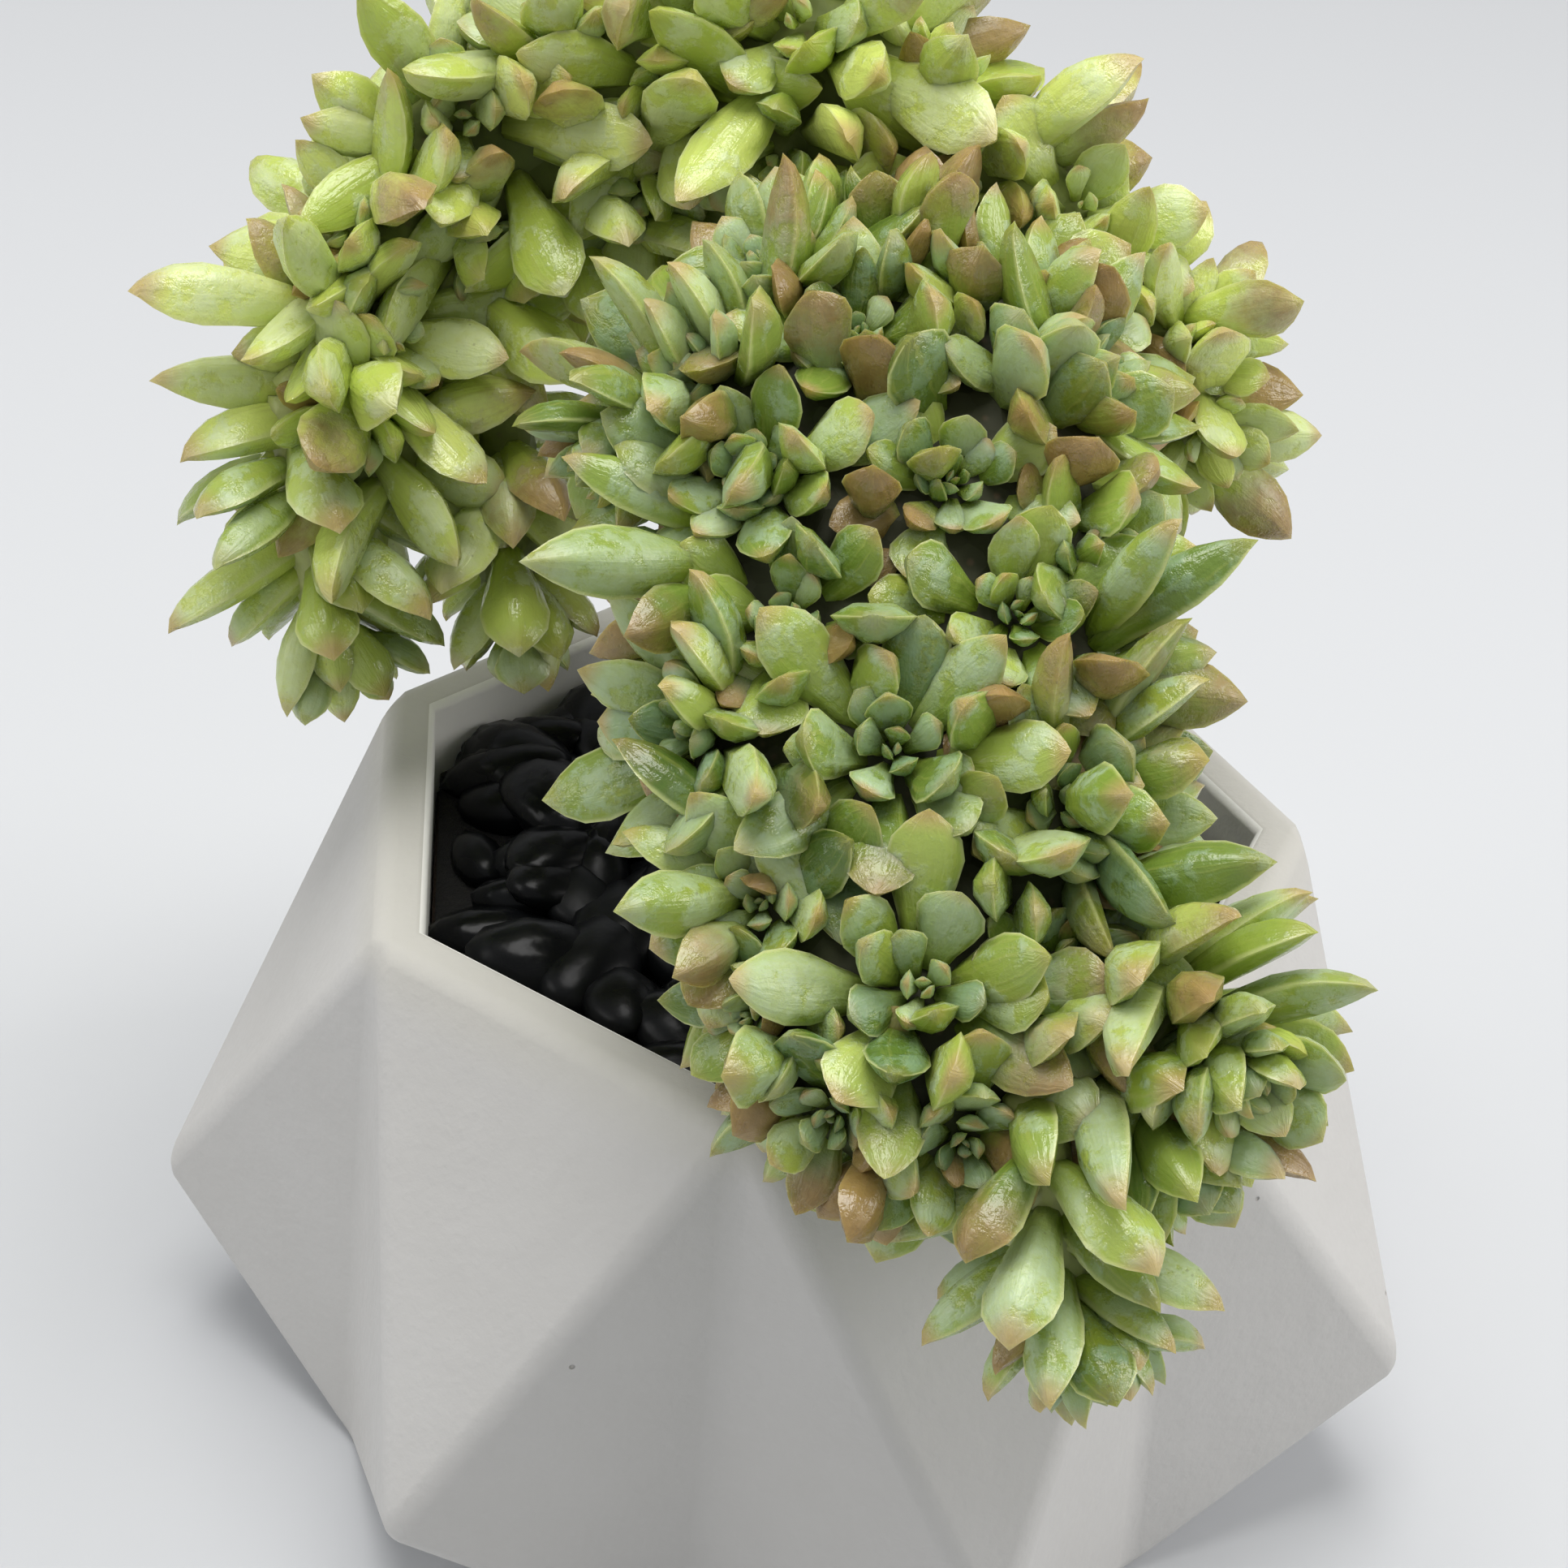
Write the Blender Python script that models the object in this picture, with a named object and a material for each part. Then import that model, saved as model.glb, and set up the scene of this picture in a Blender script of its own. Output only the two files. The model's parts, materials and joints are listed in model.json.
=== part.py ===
# Potted crested succulent: a faceted planter with soil, black stones and one crested plant.
# Lengths are in millimetres here and become metres as each mesh is made. +Z is up.
# The origin is the middle of the pot's underside, on the surface that the pot stands on.
import math

import bmesh
import bpy
import numpy as np
from mathutils import Vector
from mathutils.bvhtree import BVHTree

MM = 0.001
CLEAR = 0.3
FLAT_ANGLE = math.radians(0.1)
SEED = 7
GOLDEN_ANGLE = math.radians(137.5)

# Pot
SIDES = 7
POT_TURN = math.radians(-7.0)
RIM_RADIUS = 75.0
POT_HEIGHT = 100.0
POINT_RADIUS = 104.0
POINT_HEIGHT = 28.0
FOOT_RADIUS = 80.0
MOUTH_RADIUS = 67.2
CUP_FLOOR = 9.0
EDGE_ROUNDING = 2.4

# Soil and stones
SOIL_TOP = 83.0
BED_TOP = 88.5
BED_INSET = 1.0
SOIL_INSET = 0.4
HOLE_FLOOR = 48.0
STONE_COUNT = 34
STONE_LENGTHS = (15.0, 28.0)
STONE_WIDTHS = (0.26, 0.33)
STONE_HEIGHTS = (0.17, 0.24)
STONE_LIFT = (0.5, 3.0)
STONE_TILT = 0.2
STONE_DEPTH = 3.5
STONE_TRIES = 6000
# How far from a stone's middle its ends are tested, and how near two stones' middles may lie
STONE_END = 0.34
STONE_NEAR = 0.24
STONE_OVERLAP = 0.5
STONE_UNDER_STEM = 3.0
STEM_HOLES = ((-2.0, 35.0), (9.0, 2.0))
STEM_FOOT_RADIUS = 9.0
HOLE_RADIUS = STEM_FOOT_RADIUS + 2 * CLEAR
HOLE_SIDES = 16

# Stems: each row is a point on the spine, then the half width and the half thickness there.
# "across" is the way in which the half width lies.
# The trunks start in their holes, so each list holds only what comes above the stones.
RIDGE_TRUNK = [
    (-4, 37, 108, 9.5, 9),
    (-8, 40, 136, 12, 9.5),
    (-12, 43, 164, 16, 9),
    (-14, 45, 184, 17, 8),
]
BAND_TRUNK = [
    (9, -2, 106, 10, 9),
    (9, -14, 128, 13, 9),
    (10, -29, 148, 19, 8),
    (10, -40, 158, 21, 6),
]
RIDGE = [
    (-68, 12, 144, 10, 7),
    (-76, 24, 159, 13, 8),
    (-65, 39, 178, 16, 8),
    (-43, 46, 190, 20, 9),
    (-18, 45, 196, 21, 10),
    (4, 36, 192, 19, 9),
    (24, 26, 181, 16, 8),
    (41, 20, 169, 12, 7),
    (53, 17, 160, 8, 6),
]
BAND = [
    (0, 15, 187, 16, 7),
    (2, 1, 187, 24, 8),
    (5, -15, 180, 28, 8),
    (7, -36, 164, 29, 8),
    (10, -58, 145, 28, 8),
    (13, -77, 128, 24, 8),
    (13, -94, 112, 16, 7),
]
# Short branches, fused with the stem that carries them: spine, leaf length and number of leaves.
# The band has one on its left and one at its low right corner; the third hangs from the ridge.
BRANCHES = [
    ("crest_band", [(-12, -10, 181, 6, 5), (-26, -13, 179, 5, 4), (-34, -20, 174, 4, 4)], 22.0, 13),
    ("crest_band", [(27, -79, 125, 6, 5), (40, -83, 121, 4, 4), (47, -89, 115, 4, 4)], 28.0, 11),
    ("crest_ridge", [(-58, 36, 172, 7, 6), (-54, 28, 144, 5, 5), (-51, 20, 118, 4, 4)], 27.0, 18),
]
# Stems up to this half width have the thin detail; each detail is sides and stations
THIN_STEM = 8.0
THICK_DETAIL = (10, 10)
THIN_DETAIL = (6, 6)
# Side shoots: the stem that carries each, how far along it and at what turn in degrees it leaves,
# its radius there, its leaf length, and the rest of its spine.
SHOOTS = {
    "low_shoot": (
        "crest_band", 0.94, 60, 3.6, 25.0, [(34, -98, 103, 3.2, 3.2), (38, -105, 96, 2.6, 2.6)]
    ),
    "right_shoot": (
        "crest_band", 0.80, 92, 3.8, 27.0, [(49, -79, 130, 3.4, 3.4), (54, -88, 130, 2.8, 2.8)]
    ),
    "left_shoot": (
        "crest_ridge", 0.10, 165, 3.8, 25.0, [(-80, 9, 135, 3.6, 3.6), (-76, 6, 120, 2.8, 2.8)]
    ),
}

# Rosettes: how far along the stem, the turn round it, the leaf length and the number of leaves.
# On the ridge a turn of 0 faces the front and 90 the top; on the band 0 faces up and forward, 90 right.
RIDGE_ROSETTES = [
    (0.05, -20, 22, 6),
    (0.06, 150, 20, 6),
    (0.155, 38, 27, 8),
    (0.15, -65, 22, 6),
    (0.20, 95, 24, 6),
    (0.22, -72, 28, 6),
    (0.26, -10, 24, 6),
    (0.30, 50, 26, 6),
    (0.38, 85, 26, 6),
    (0.34, -65, 29, 6),
    (0.40, -20, 25, 6),
    (0.44, 20, 22, 6),
    (0.53, 55, 31, 6),
    (0.54, 0, 26, 6),
    (0.62, 100, 18, 6),
    (0.67, 30, 20, 6),
    (0.74, 70, 18, 6),
    (0.80, 20, 19, 6),
    (0.89, 75, 17, 6),
    (0.90, -35, 16, 6),
    (0.96, 30, 16, 6),
]
BAND_ROSETTES = [
    (0.16, 50, 18, 6),
    (0.27, -12, 16, 7),
    (0.28, -78, 26, 6),
    (0.31, 76, 22, 6),
    (0.41, -45, 19, 8),
    (0.42, 13, 15, 7),
    (0.47, 66, 15, 7),
    (0.47, -98, 28, 6),
    (0.53, 30, 17, 7),
    (0.53, -32, 16, 6),
    (0.57, 98, 26, 7),
    (0.61, -78, 25, 7),
    (0.635, -5, 22, 8),
    (0.665, 84, 25, 7),
    (0.675, 50, 16, 7),
    (0.74, -100, 22, 6),
    (0.75, -50, 16, 6),
    (0.76, 98, 25, 7),
    (0.835, 0, 24, 7),
    (0.82, 55, 14, 7),
    (0.86, -68, 14, 6),
    (0.955, -45, 15, 6),
    (0.965, 30, 17, 6),
]
BAND_SPACING = (22.0, 13.0)
RIDGE_SPACING = (23.5, 16.0)
HIDDEN_LENGTHS = (17.0, 23.0)
HIDDEN_LEAVES = 5
SHOOT_LEAVES = 19
FACING_SPACE = 12.0
FILLER_LENGTHS = (12.0, 17.0)

# Leaf form, as parts of its length: where a section lies, and how wide it is there
LEAF_SECTIONS = ((0.0, 0.22), (0.54, 1.0), (0.82, 0.74))
SHORT_SECTIONS = ((0.0, 0.22), (0.62, 1.0))
SHORT_LEAF = 20.0
LEAF_HALF_WIDTH = 0.29
# Leaves longer than this are narrower for their length, by this power
FULL_WIDTH_LENGTH = 15.0
NARROWING = 0.75
LEAF_HALF_THICKNESS = 0.14
LEAF_BEND = 0.16
ROOT_SINK = 1.5
ROSETTE_RING = 0.27

# Packing of the leaves against each other
PACK_ROUNDS = 36
PACK_PLACES = (0.45, 0.72, 0.96)
PACK_RADII = (0.18, 0.19, 0.08)
# Room that the leaves leave for the pot: over the stones, and over and outside the rim
LEAST_HEIGHT = 99.0
STONES_REACH = 58.0
RIM_REACH = 66.0
RIM_GAP = 1.0


def clear_scene():
    for thing in list(bpy.data.objects):
        bpy.data.objects.remove(thing)


def finish(name, colour, roughness, metallic=0.0, specular=0.5):
    """A plain material for one kind of piece."""
    material = bpy.data.materials.new(name)
    material.use_nodes = True
    shader = material.node_tree.nodes["Principled BSDF"]
    shader.inputs["Base Color"].default_value = (*colour, 1.0)
    shader.inputs["Roughness"].default_value = roughness
    shader.inputs["Metallic"].default_value = metallic
    shader.inputs["Specular IOR Level"].default_value = specular
    return material


def add_object(name, mesh, material):
    """Puts a mesh in millimetres into the scene as an object in metres."""
    mesh.transform(np.diag((MM, MM, MM, 1.0)))
    mesh.materials.append(material)
    thing = bpy.data.objects.new(name, mesh)
    bpy.context.scene.collection.objects.link(thing)
    return thing


def mesh_from(name, points, faces):
    mesh = bpy.data.meshes.new(name)
    mesh.from_pydata([tuple(p) for p in points], [], faces)
    mesh.update()
    return mesh


def unit(vector):
    return vector / np.linalg.norm(vector)


# Pot, soil and stones


def heptagon(radius, height, half_steps=0):
    """Corner points of the pot's plan at one height; half_steps of 1 gives the points between corners."""
    corners = []
    for k in range(SIDES):
        angle = POT_TURN + (k + half_steps / 2) * math.tau / SIDES
        corners.append((radius * math.sin(angle), -radius * math.cos(angle), height))
    return corners


def make_pot(material):
    """The faceted shell: wide triangles from rim to outward points, with creased valleys between."""
    points = heptagon(RIM_RADIUS, POT_HEIGHT) + heptagon(POINT_RADIUS, POINT_HEIGHT, 1)
    points += heptagon(FOOT_RADIUS, 0.0)
    points += heptagon(MOUTH_RADIUS, POT_HEIGHT) + heptagon(MOUTH_RADIUS, CUP_FLOOR)
    rim, point, foot, mouth, floor = (range(n * SIDES, (n + 1) * SIDES) for n in range(5))
    faces = []
    for k in range(SIDES):
        after = (k + 1) % SIDES
        before = (k - 1) % SIDES
        faces.append((point[k], rim[after], rim[k]))
        faces.append((foot[k], rim[k], point[before]))
        faces.append((foot[k], point[k], rim[k]))
        faces.append((foot[k], foot[after], point[k]))
        faces.append((rim[k], rim[after], mouth[after], mouth[k]))
        faces.append((mouth[k], mouth[after], floor[after], floor[k]))
    faces.append(tuple(reversed(foot)))
    faces.append(tuple(floor))
    pot = bmesh.new()
    pot.from_mesh(mesh_from("pot_facets", points, faces))
    bmesh.ops.recalc_face_normals(pot, faces=pot.faces)
    outer = [edge for edge in pot.edges if all(v.index < 4 * SIDES for v in edge.verts)]
    bmesh.ops.bevel(
        pot, geom=outer, offset=EDGE_ROUNDING, segments=2, profile=0.5, affect="EDGES"
    )
    bmesh.ops.triangulate(pot, faces=pot.faces)
    mesh = bpy.data.meshes.new("pot")
    pot.to_mesh(mesh)
    pot.free()
    return add_object("pot", mesh, material)


def slab(name, low, high, radius):
    """A seven-sided slab between two heights."""
    points = heptagon(radius, low) + heptagon(radius, high)
    faces = [tuple(reversed(range(SIDES))), tuple(range(SIDES, 2 * SIDES))]
    for k in range(SIDES):
        after = (k + 1) % SIDES
        faces.append((k, after, SIDES + after, SIDES + k))
    return mesh_from(name, points, faces)


def drilled(name, mesh):
    """The mesh with a plain round hole for each stem."""
    block = bpy.data.objects.new(name + "_block", mesh)
    bpy.context.scene.collection.objects.link(block)
    drills = []
    for x, y in STEM_HOLES:
        rod = bmesh.new()
        bmesh.ops.create_cone(
            rod,
            cap_ends=True,
            segments=HOLE_SIDES,
            radius1=HOLE_RADIUS,
            radius2=HOLE_RADIUS,
            depth=POT_HEIGHT,
        )
        bmesh.ops.translate(rod, verts=rod.verts, vec=(x, y, HOLE_FLOOR + POT_HEIGHT / 2))
        drill_mesh = bpy.data.meshes.new("drill")
        rod.to_mesh(drill_mesh)
        rod.free()
        drill = bpy.data.objects.new("drill", drill_mesh)
        drill.hide_render = True
        drill.display_type = "WIRE"
        bpy.context.scene.collection.objects.link(drill)
        drills.append(drill)
        cut = block.modifiers.new("hole", "BOOLEAN")
        cut.operation = "DIFFERENCE"
        cut.object = drill
    graph = bpy.context.evaluated_depsgraph_get()
    holed = bpy.data.meshes.new_from_object(block.evaluated_get(graph))
    for thing in [block, *drills]:
        bpy.data.objects.remove(thing)
    return largest_shell(name, holed)


def make_soil(material):
    block = slab("potting_soil", CUP_FLOOR + CLEAR, SOIL_TOP, MOUTH_RADIUS - SOIL_INSET)
    return add_object("potting_soil", drilled("potting_soil", block), material)


def stone_places(draw):
    """Middles, lengths and turns of the stones: spread over the mouth, clear of the stem and the wall."""
    wall = MOUTH_RADIUS * math.cos(math.pi / SIDES)
    places = []
    tries = 0
    while len(places) < STONE_COUNT and tries < STONE_TRIES:
        tries += 1
        length = draw.uniform(*STONE_LENGTHS)
        turn = draw.uniform(0.0, math.pi)
        radius = wall * math.sqrt(draw.uniform(0.0, 1.0))
        angle = draw.uniform(0.0, math.tau)
        spot = np.array([radius * math.cos(angle), radius * math.sin(angle)])
        lies = np.array([math.cos(turn), math.sin(turn)]) * length * STONE_END
        ends = [spot - lies, spot, spot + lies]
        reach = length * STONE_WIDTHS[0] + CLEAR
        if any(np.linalg.norm(end) + reach > wall for end in ends):
            continue
        gaps = [np.linalg.norm(end - hole) - HOLE_RADIUS for hole in STEM_HOLES for end in ends]
        if min(gaps) < reach - STONE_UNDER_STEM:
            continue
        near = [
            np.linalg.norm(spot - other) - STONE_NEAR * (length + size)
            for other, size, _ in places
        ]
        if near and min(near) < -STONE_OVERLAP:
            continue
        places.append((spot, length, turn))
    return places


def make_stones(material):
    """One bed of rounded stones on the soil, fused where they lie against each other."""
    draw = np.random.default_rng(SEED + 1)
    bed = slab("stones", SOIL_TOP + CLEAR, BED_TOP, MOUTH_RADIUS - BED_INSET)
    stones = []
    for spot, length, turn in stone_places(draw):
        stone = bmesh.new()
        bmesh.ops.create_icosphere(stone, subdivisions=1, radius=1.0)
        half = (
            length / 2,
            length * draw.uniform(*STONE_WIDTHS),
            length * draw.uniform(*STONE_HEIGHTS),
        )
        lift = draw.uniform(*STONE_LIFT)
        tilt = draw.uniform(-STONE_TILT, STONE_TILT)
        for vertex in stone.verts:
            px, py, pz = (c * h for c, h in zip(vertex.co, half))
            pz += px * tilt
            vertex.co = (
                spot[0] + px * math.cos(turn) - py * math.sin(turn),
                spot[1] + px * math.sin(turn) + py * math.cos(turn),
                BED_TOP + lift + max(pz, -STONE_DEPTH),
            )
        mesh = bpy.data.meshes.new("stone")
        stone.to_mesh(mesh)
        stone.free()
        stones.append(mesh)
    whole = drilled("black_stones", fuse("black_stones", bed, stones))
    return add_object("black_stones", whole, material)


# Stems


class Stem:
    """A stretch of stem with an oval section, swept along a smooth curve through its spine points."""

    def __init__(self, rows, across, round_start=True, round_end=True):
        self.rows = np.array(rows, dtype=float)
        self.across = np.array(across, dtype=float)
        self.rounded = (round_start, round_end)

    def values(self, along):
        """Spine point, half width and half thickness, from a smooth curve through the rows."""
        last = len(self.rows) - 1
        place = min(max(along, 0.0), 1.0) * last
        k = min(int(place), last - 1)
        t = place - k
        p1 = self.rows[k]
        p2 = self.rows[k + 1]
        p0 = self.rows[k - 1] if k > 0 else 2 * p1 - p2
        p3 = self.rows[k + 2] if k + 2 <= last else 2 * p2 - p1
        return 0.5 * (
            2 * p1
            + (p2 - p0) * t
            + (2 * p0 - 5 * p1 + 4 * p2 - p3) * t * t
            + (3 * p1 - p0 - 3 * p2 + p3) * t * t * t
        )

    def spine(self, along):
        return self.values(along)[:3]

    def heading(self, along):
        return unit(self.spine(min(along + 0.01, 1.0)) - self.spine(max(along - 0.01, 0.0)))

    def taper(self, along):
        """1 in the middle, falling to 0 at a rounded end."""
        size = 1.0
        for end, is_round in zip((along, 1.0 - along), self.rounded):
            if is_round and end < 0.12:
                size *= math.sqrt(max(1.0 - (1.0 - end / 0.12) ** 2, 0.0))
        return size

    def skin(self, along, turn):
        """A point on the surface; a turn of 0 faces outward, 90 degrees lies to the across side."""
        row = self.values(along)
        heading = self.heading(along)
        side = unit(self.across - heading * (self.across @ heading))
        face = np.cross(heading, side)
        reach = row[3] * math.sin(turn) * side + row[4] * math.cos(turn) * face
        return row[:3] + self.taper(along) * reach

    def outward(self, along, turn):
        """The surface's outward direction."""
        step = 0.004
        low, high = max(along - step, 0.0), min(along + step, 1.0)
        lengthwise = self.skin(high, turn) - self.skin(low, turn)
        round_it = self.skin(along, turn + 0.02) - self.skin(along, turn - 0.02)
        direction = unit(np.cross(round_it, lengthwise))
        if direction @ (self.skin(along, turn) - self.spine(along)) < 0:
            direction = -direction
        return direction

    def mesh(self, name, sides, stations):
        points = []
        for j in range(stations):
            along = 0.5 - 0.5 * math.cos(math.pi * (j + 0.5) / stations)
            if j == 0 and not self.rounded[0]:
                along = 0.0
            if j == stations - 1 and not self.rounded[1]:
                along = 1.0
            points += [self.skin(along, k * math.tau / sides) for k in range(sides)]
        faces = []
        for j in range(stations - 1):
            for k in range(sides):
                after = (k + 1) % sides
                faces.append(
                    (j * sides + k, j * sides + after, (j + 1) * sides + after, (j + 1) * sides + k)
                )
        points += [self.spine(0.0), self.spine(1.0)]
        top = (stations - 1) * sides
        for k in range(sides):
            after = (k + 1) % sides
            faces.append((stations * sides, after, k))
            faces.append((stations * sides + 1, top + k, top + after))
        return outward_mesh(name, points, faces)

    def balls(self, count):
        """Balls that fill the stem, as middles and radii: what the leaves are pushed out of."""
        middles, radii = [], []
        for along in np.linspace(0.04, 0.96, count):
            row = self.values(along)
            heading = self.heading(along)
            side = unit(self.across - heading * (self.across @ heading))
            spare = max(row[3] - row[4], 0.0)
            for shift in (-1.0, 0.0, 1.0):
                middles.append(row[:3] + side * spare * shift)
                radii.append(row[4])
        return np.array(middles), np.array(radii)


def outward_mesh(name, points, faces):
    """A closed mesh whose faces point out."""
    shape = bmesh.new()
    shape.from_mesh(mesh_from(name, points, faces))
    bmesh.ops.recalc_face_normals(shape, faces=shape.faces)
    bmesh.ops.triangulate(shape, faces=shape.faces)
    if shape.calc_volume(signed=True) < 0:
        bmesh.ops.reverse_faces(shape, faces=shape.faces)
    mesh = bpy.data.meshes.new(name)
    shape.to_mesh(mesh)
    shape.free()
    return mesh


# Leaves


class Leaf:
    """One plump leaf: where it is rooted, the way it points, the way its upper face looks, its length."""

    def __init__(self, root, points_to, faces_to, length, draw):
        self.root = root
        self.points_to = unit(points_to)
        self.faces_to = faces_to
        self.length = length
        self.breadth = draw.uniform(0.88, 1.14)
        self.bend = LEAF_BEND * draw.uniform(0.2, 1.3)


def sunk_root(tree, spot):
    """The place just under the stem's surface that lies nearest to a spot."""
    place, normal, _, _ = tree.find_nearest(Vector(spot))
    return np.array(place - normal * ROOT_SINK)


def rosette_leaves(stem, tree, along, turn, length, count, draw):
    """Leaves set round one growing point by the golden angle, long and spread outside, short inside."""
    middle = stem.skin(along, math.radians(turn))
    axis = stem.outward(along, math.radians(turn))
    side = unit(np.cross(axis, (0.31, 0.57, 0.76)))
    other = np.cross(axis, side)
    spin = draw.uniform(0.0, math.tau)
    leaves = []
    for k in range(count):
        inner = k / (count - 1)
        angle = spin + k * GOLDEN_ANGLE
        radial = side * math.cos(angle) + other * math.sin(angle)
        lean = math.radians(70.0 - 50.0 * inner**2.0) + draw.uniform(-0.1, 0.1)
        size = length * (1.0 - 0.48 * inner**1.7) * draw.uniform(0.88, 1.1)
        ring = ROSETTE_RING * length * (1.0 - 0.6 * inner)
        root = sunk_root(tree, middle + radial * ring)
        leaves.append(
            Leaf(root, axis * math.cos(lean) + radial * math.sin(lean), axis, size, draw)
        )
    return leaves


def shoot_leaves(stem, length, count, draw):
    """Leaves up a trailing shoot, spread along it and closing to a rosette at its tip."""
    spin = draw.uniform(0.0, math.tau)
    leaves = []
    for k in range(count):
        inner = k / (count - 1)
        along = 0.42 + 0.56 * inner
        axis = stem.heading(along)
        side = unit(np.cross(axis, (0.31, 0.57, 0.76)))
        other = np.cross(axis, side)
        angle = spin + k * GOLDEN_ANGLE
        radial = side * math.cos(angle) + other * math.sin(angle)
        lean = math.radians(80.0 - 52.0 * inner**1.6) + draw.uniform(-0.1, 0.1)
        size = length * (1.0 - 0.55 * inner**1.8) * draw.uniform(0.88, 1.08)
        root = stem.spine(along) + radial * 0.8
        leaves.append(
            Leaf(root, axis * math.cos(lean) + radial * math.sin(lean), axis, size, draw)
        )
    return leaves


def spots_on(stem, taken, spacing, draw):
    """Free places on a stem, one spacing or more from those taken and from each other.

    Places that face different ways count as further apart, so both faces of a thin crest fill up.
    """
    def place(along, turn):
        return stem.skin(along, math.radians(turn)), stem.outward(along, math.radians(turn))

    held = [place(along, turn) for along, turn in taken]
    found = []
    for along in np.linspace(0.04, 0.96, 14):
        for turn in range(0, 360, 30):
            a = min(max(along + draw.uniform(-0.03, 0.03), 0.03), 0.97)
            t = turn + draw.uniform(-14.0, 14.0)
            spot, axis = place(a, t)
            if all(
                np.linalg.norm(spot - other) + FACING_SPACE * (1.0 - axis @ way) > spacing
                for other, way in held
            ):
                held.append((spot, axis))
                found.append((a, t))
    return found


def stem_leaves(stem, tree, rosettes, spacing, draw, bare):
    """A crested stem's leaves: listed rosettes, rosettes by rule elsewhere, fillers between."""
    leaves = []
    taken = []
    for along, turn, length, count in rosettes:
        leaves += rosette_leaves(stem, tree, along, turn, length, count, draw)
        taken.append((along, turn))
    for along, turn in spots_on(stem, taken, spacing[0], draw):
        if bare(stem.skin(along, math.radians(turn))):
            continue
        length = draw.uniform(*HIDDEN_LENGTHS)
        leaves += rosette_leaves(stem, tree, along, turn, length, HIDDEN_LEAVES, draw)
        taken.append((along, turn))
    for along, turn in spots_on(stem, taken, spacing[1], draw):
        spot = stem.skin(along, math.radians(turn))
        if bare(spot):
            continue
        axis = stem.outward(along, math.radians(turn))
        sway = unit(np.cross(axis, [draw.uniform(-1.0, 1.0) for _ in range(3)]))
        length = draw.uniform(*FILLER_LENGTHS)
        points_to = axis + sway * draw.uniform(0.5, 2.0)
        leaves.append(Leaf(sunk_root(tree, spot), points_to, axis, length, draw))
    return leaves


def pot_push(points, radii):
    """How far each point must move to lie clear of the pot's outside, its rim and the stones."""
    push = np.zeros_like(points)
    plan = np.hypot(points[:, 0], points[:, 1])
    outward = points[:, :2] / plan[:, None]
    slope = (POINT_RADIUS - RIM_RADIUS) / (POT_HEIGHT - POINT_HEIGHT)
    wall = RIM_RADIUS + np.maximum(POT_HEIGHT - points[:, 2], 0.0) * slope
    up = POT_HEIGHT + radii + RIM_GAP - points[:, 2]
    out = wall + radii + RIM_GAP - plan
    over_rim = (plan > STONES_REACH) & (up > 0) & (out > 0)
    goes_up = over_rim & ((up < out) | (plan < RIM_REACH))
    goes_out = over_rim & ~goes_up
    push[goes_up, 2] = up[goes_up]
    push[goes_out, :2] = outward[goes_out] * out[goes_out, None]
    low = (plan <= STONES_REACH) & (points[:, 2] < LEAST_HEIGHT + radii)
    push[low, 2] = (LEAST_HEIGHT + radii - points[:, 2])[low]
    return push


def pack_leaves(leaves, stems):
    """Turns the leaves about their roots until they lie beside each other and outside stems and pot."""
    roots = np.array([leaf.root for leaf in leaves])
    start = np.array([leaf.points_to for leaf in leaves])
    lengths = np.array([leaf.length for leaf in leaves])
    places = np.array(PACK_PLACES)
    radii = (lengths[:, None] * np.array(PACK_RADII)).ravel()
    filled = [stem.balls(14) for stem in stems]
    ball_middles = np.concatenate([middles for middles, _ in filled])
    ball_radii = np.concatenate([sizes for _, sizes in filled])
    owner = np.repeat(np.arange(len(leaves)), len(places))
    own = owner[:, None] == owner[None, :]
    way = start.copy()
    for _ in range(PACK_ROUNDS):
        reach = lengths[:, None] * places
        points = (roots[:, None] + way[:, None] * reach[:, :, None]).reshape(-1, 3)
        between = points[:, None] - points[None]
        distance = np.linalg.norm(between, axis=2) + 1e-9
        overlap = np.maximum(radii[:, None] + radii[None] - distance, 0.0)
        overlap[own] = 0.0
        push = (between * (overlap / distance)[:, :, None]).sum(axis=1) * 0.5
        between = points[:, None] - ball_middles[None]
        distance = np.linalg.norm(between, axis=2) + 1e-9
        overlap = np.maximum(radii[:, None] * 0.6 + ball_radii[None] - distance, 0.0)
        overlap[np.repeat(lengths, len(places)) * np.tile(places, len(leaves)) < 3.0] = 0.0
        deepest = overlap.argmax(axis=1)
        index = np.arange(len(points))
        push += between[index, deepest] * (overlap / distance)[index, deepest][:, None]
        push += pot_push(points, radii)
        turn = (push.reshape(len(leaves), -1, 3) * places[None, :, None]).sum(axis=1)
        way = way + 0.5 * turn / lengths[:, None] + 0.1 * (start - way)
        way /= np.linalg.norm(way, axis=1)[:, None]
    for leaf, direction in zip(leaves, way):
        leaf.points_to = direction


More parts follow.
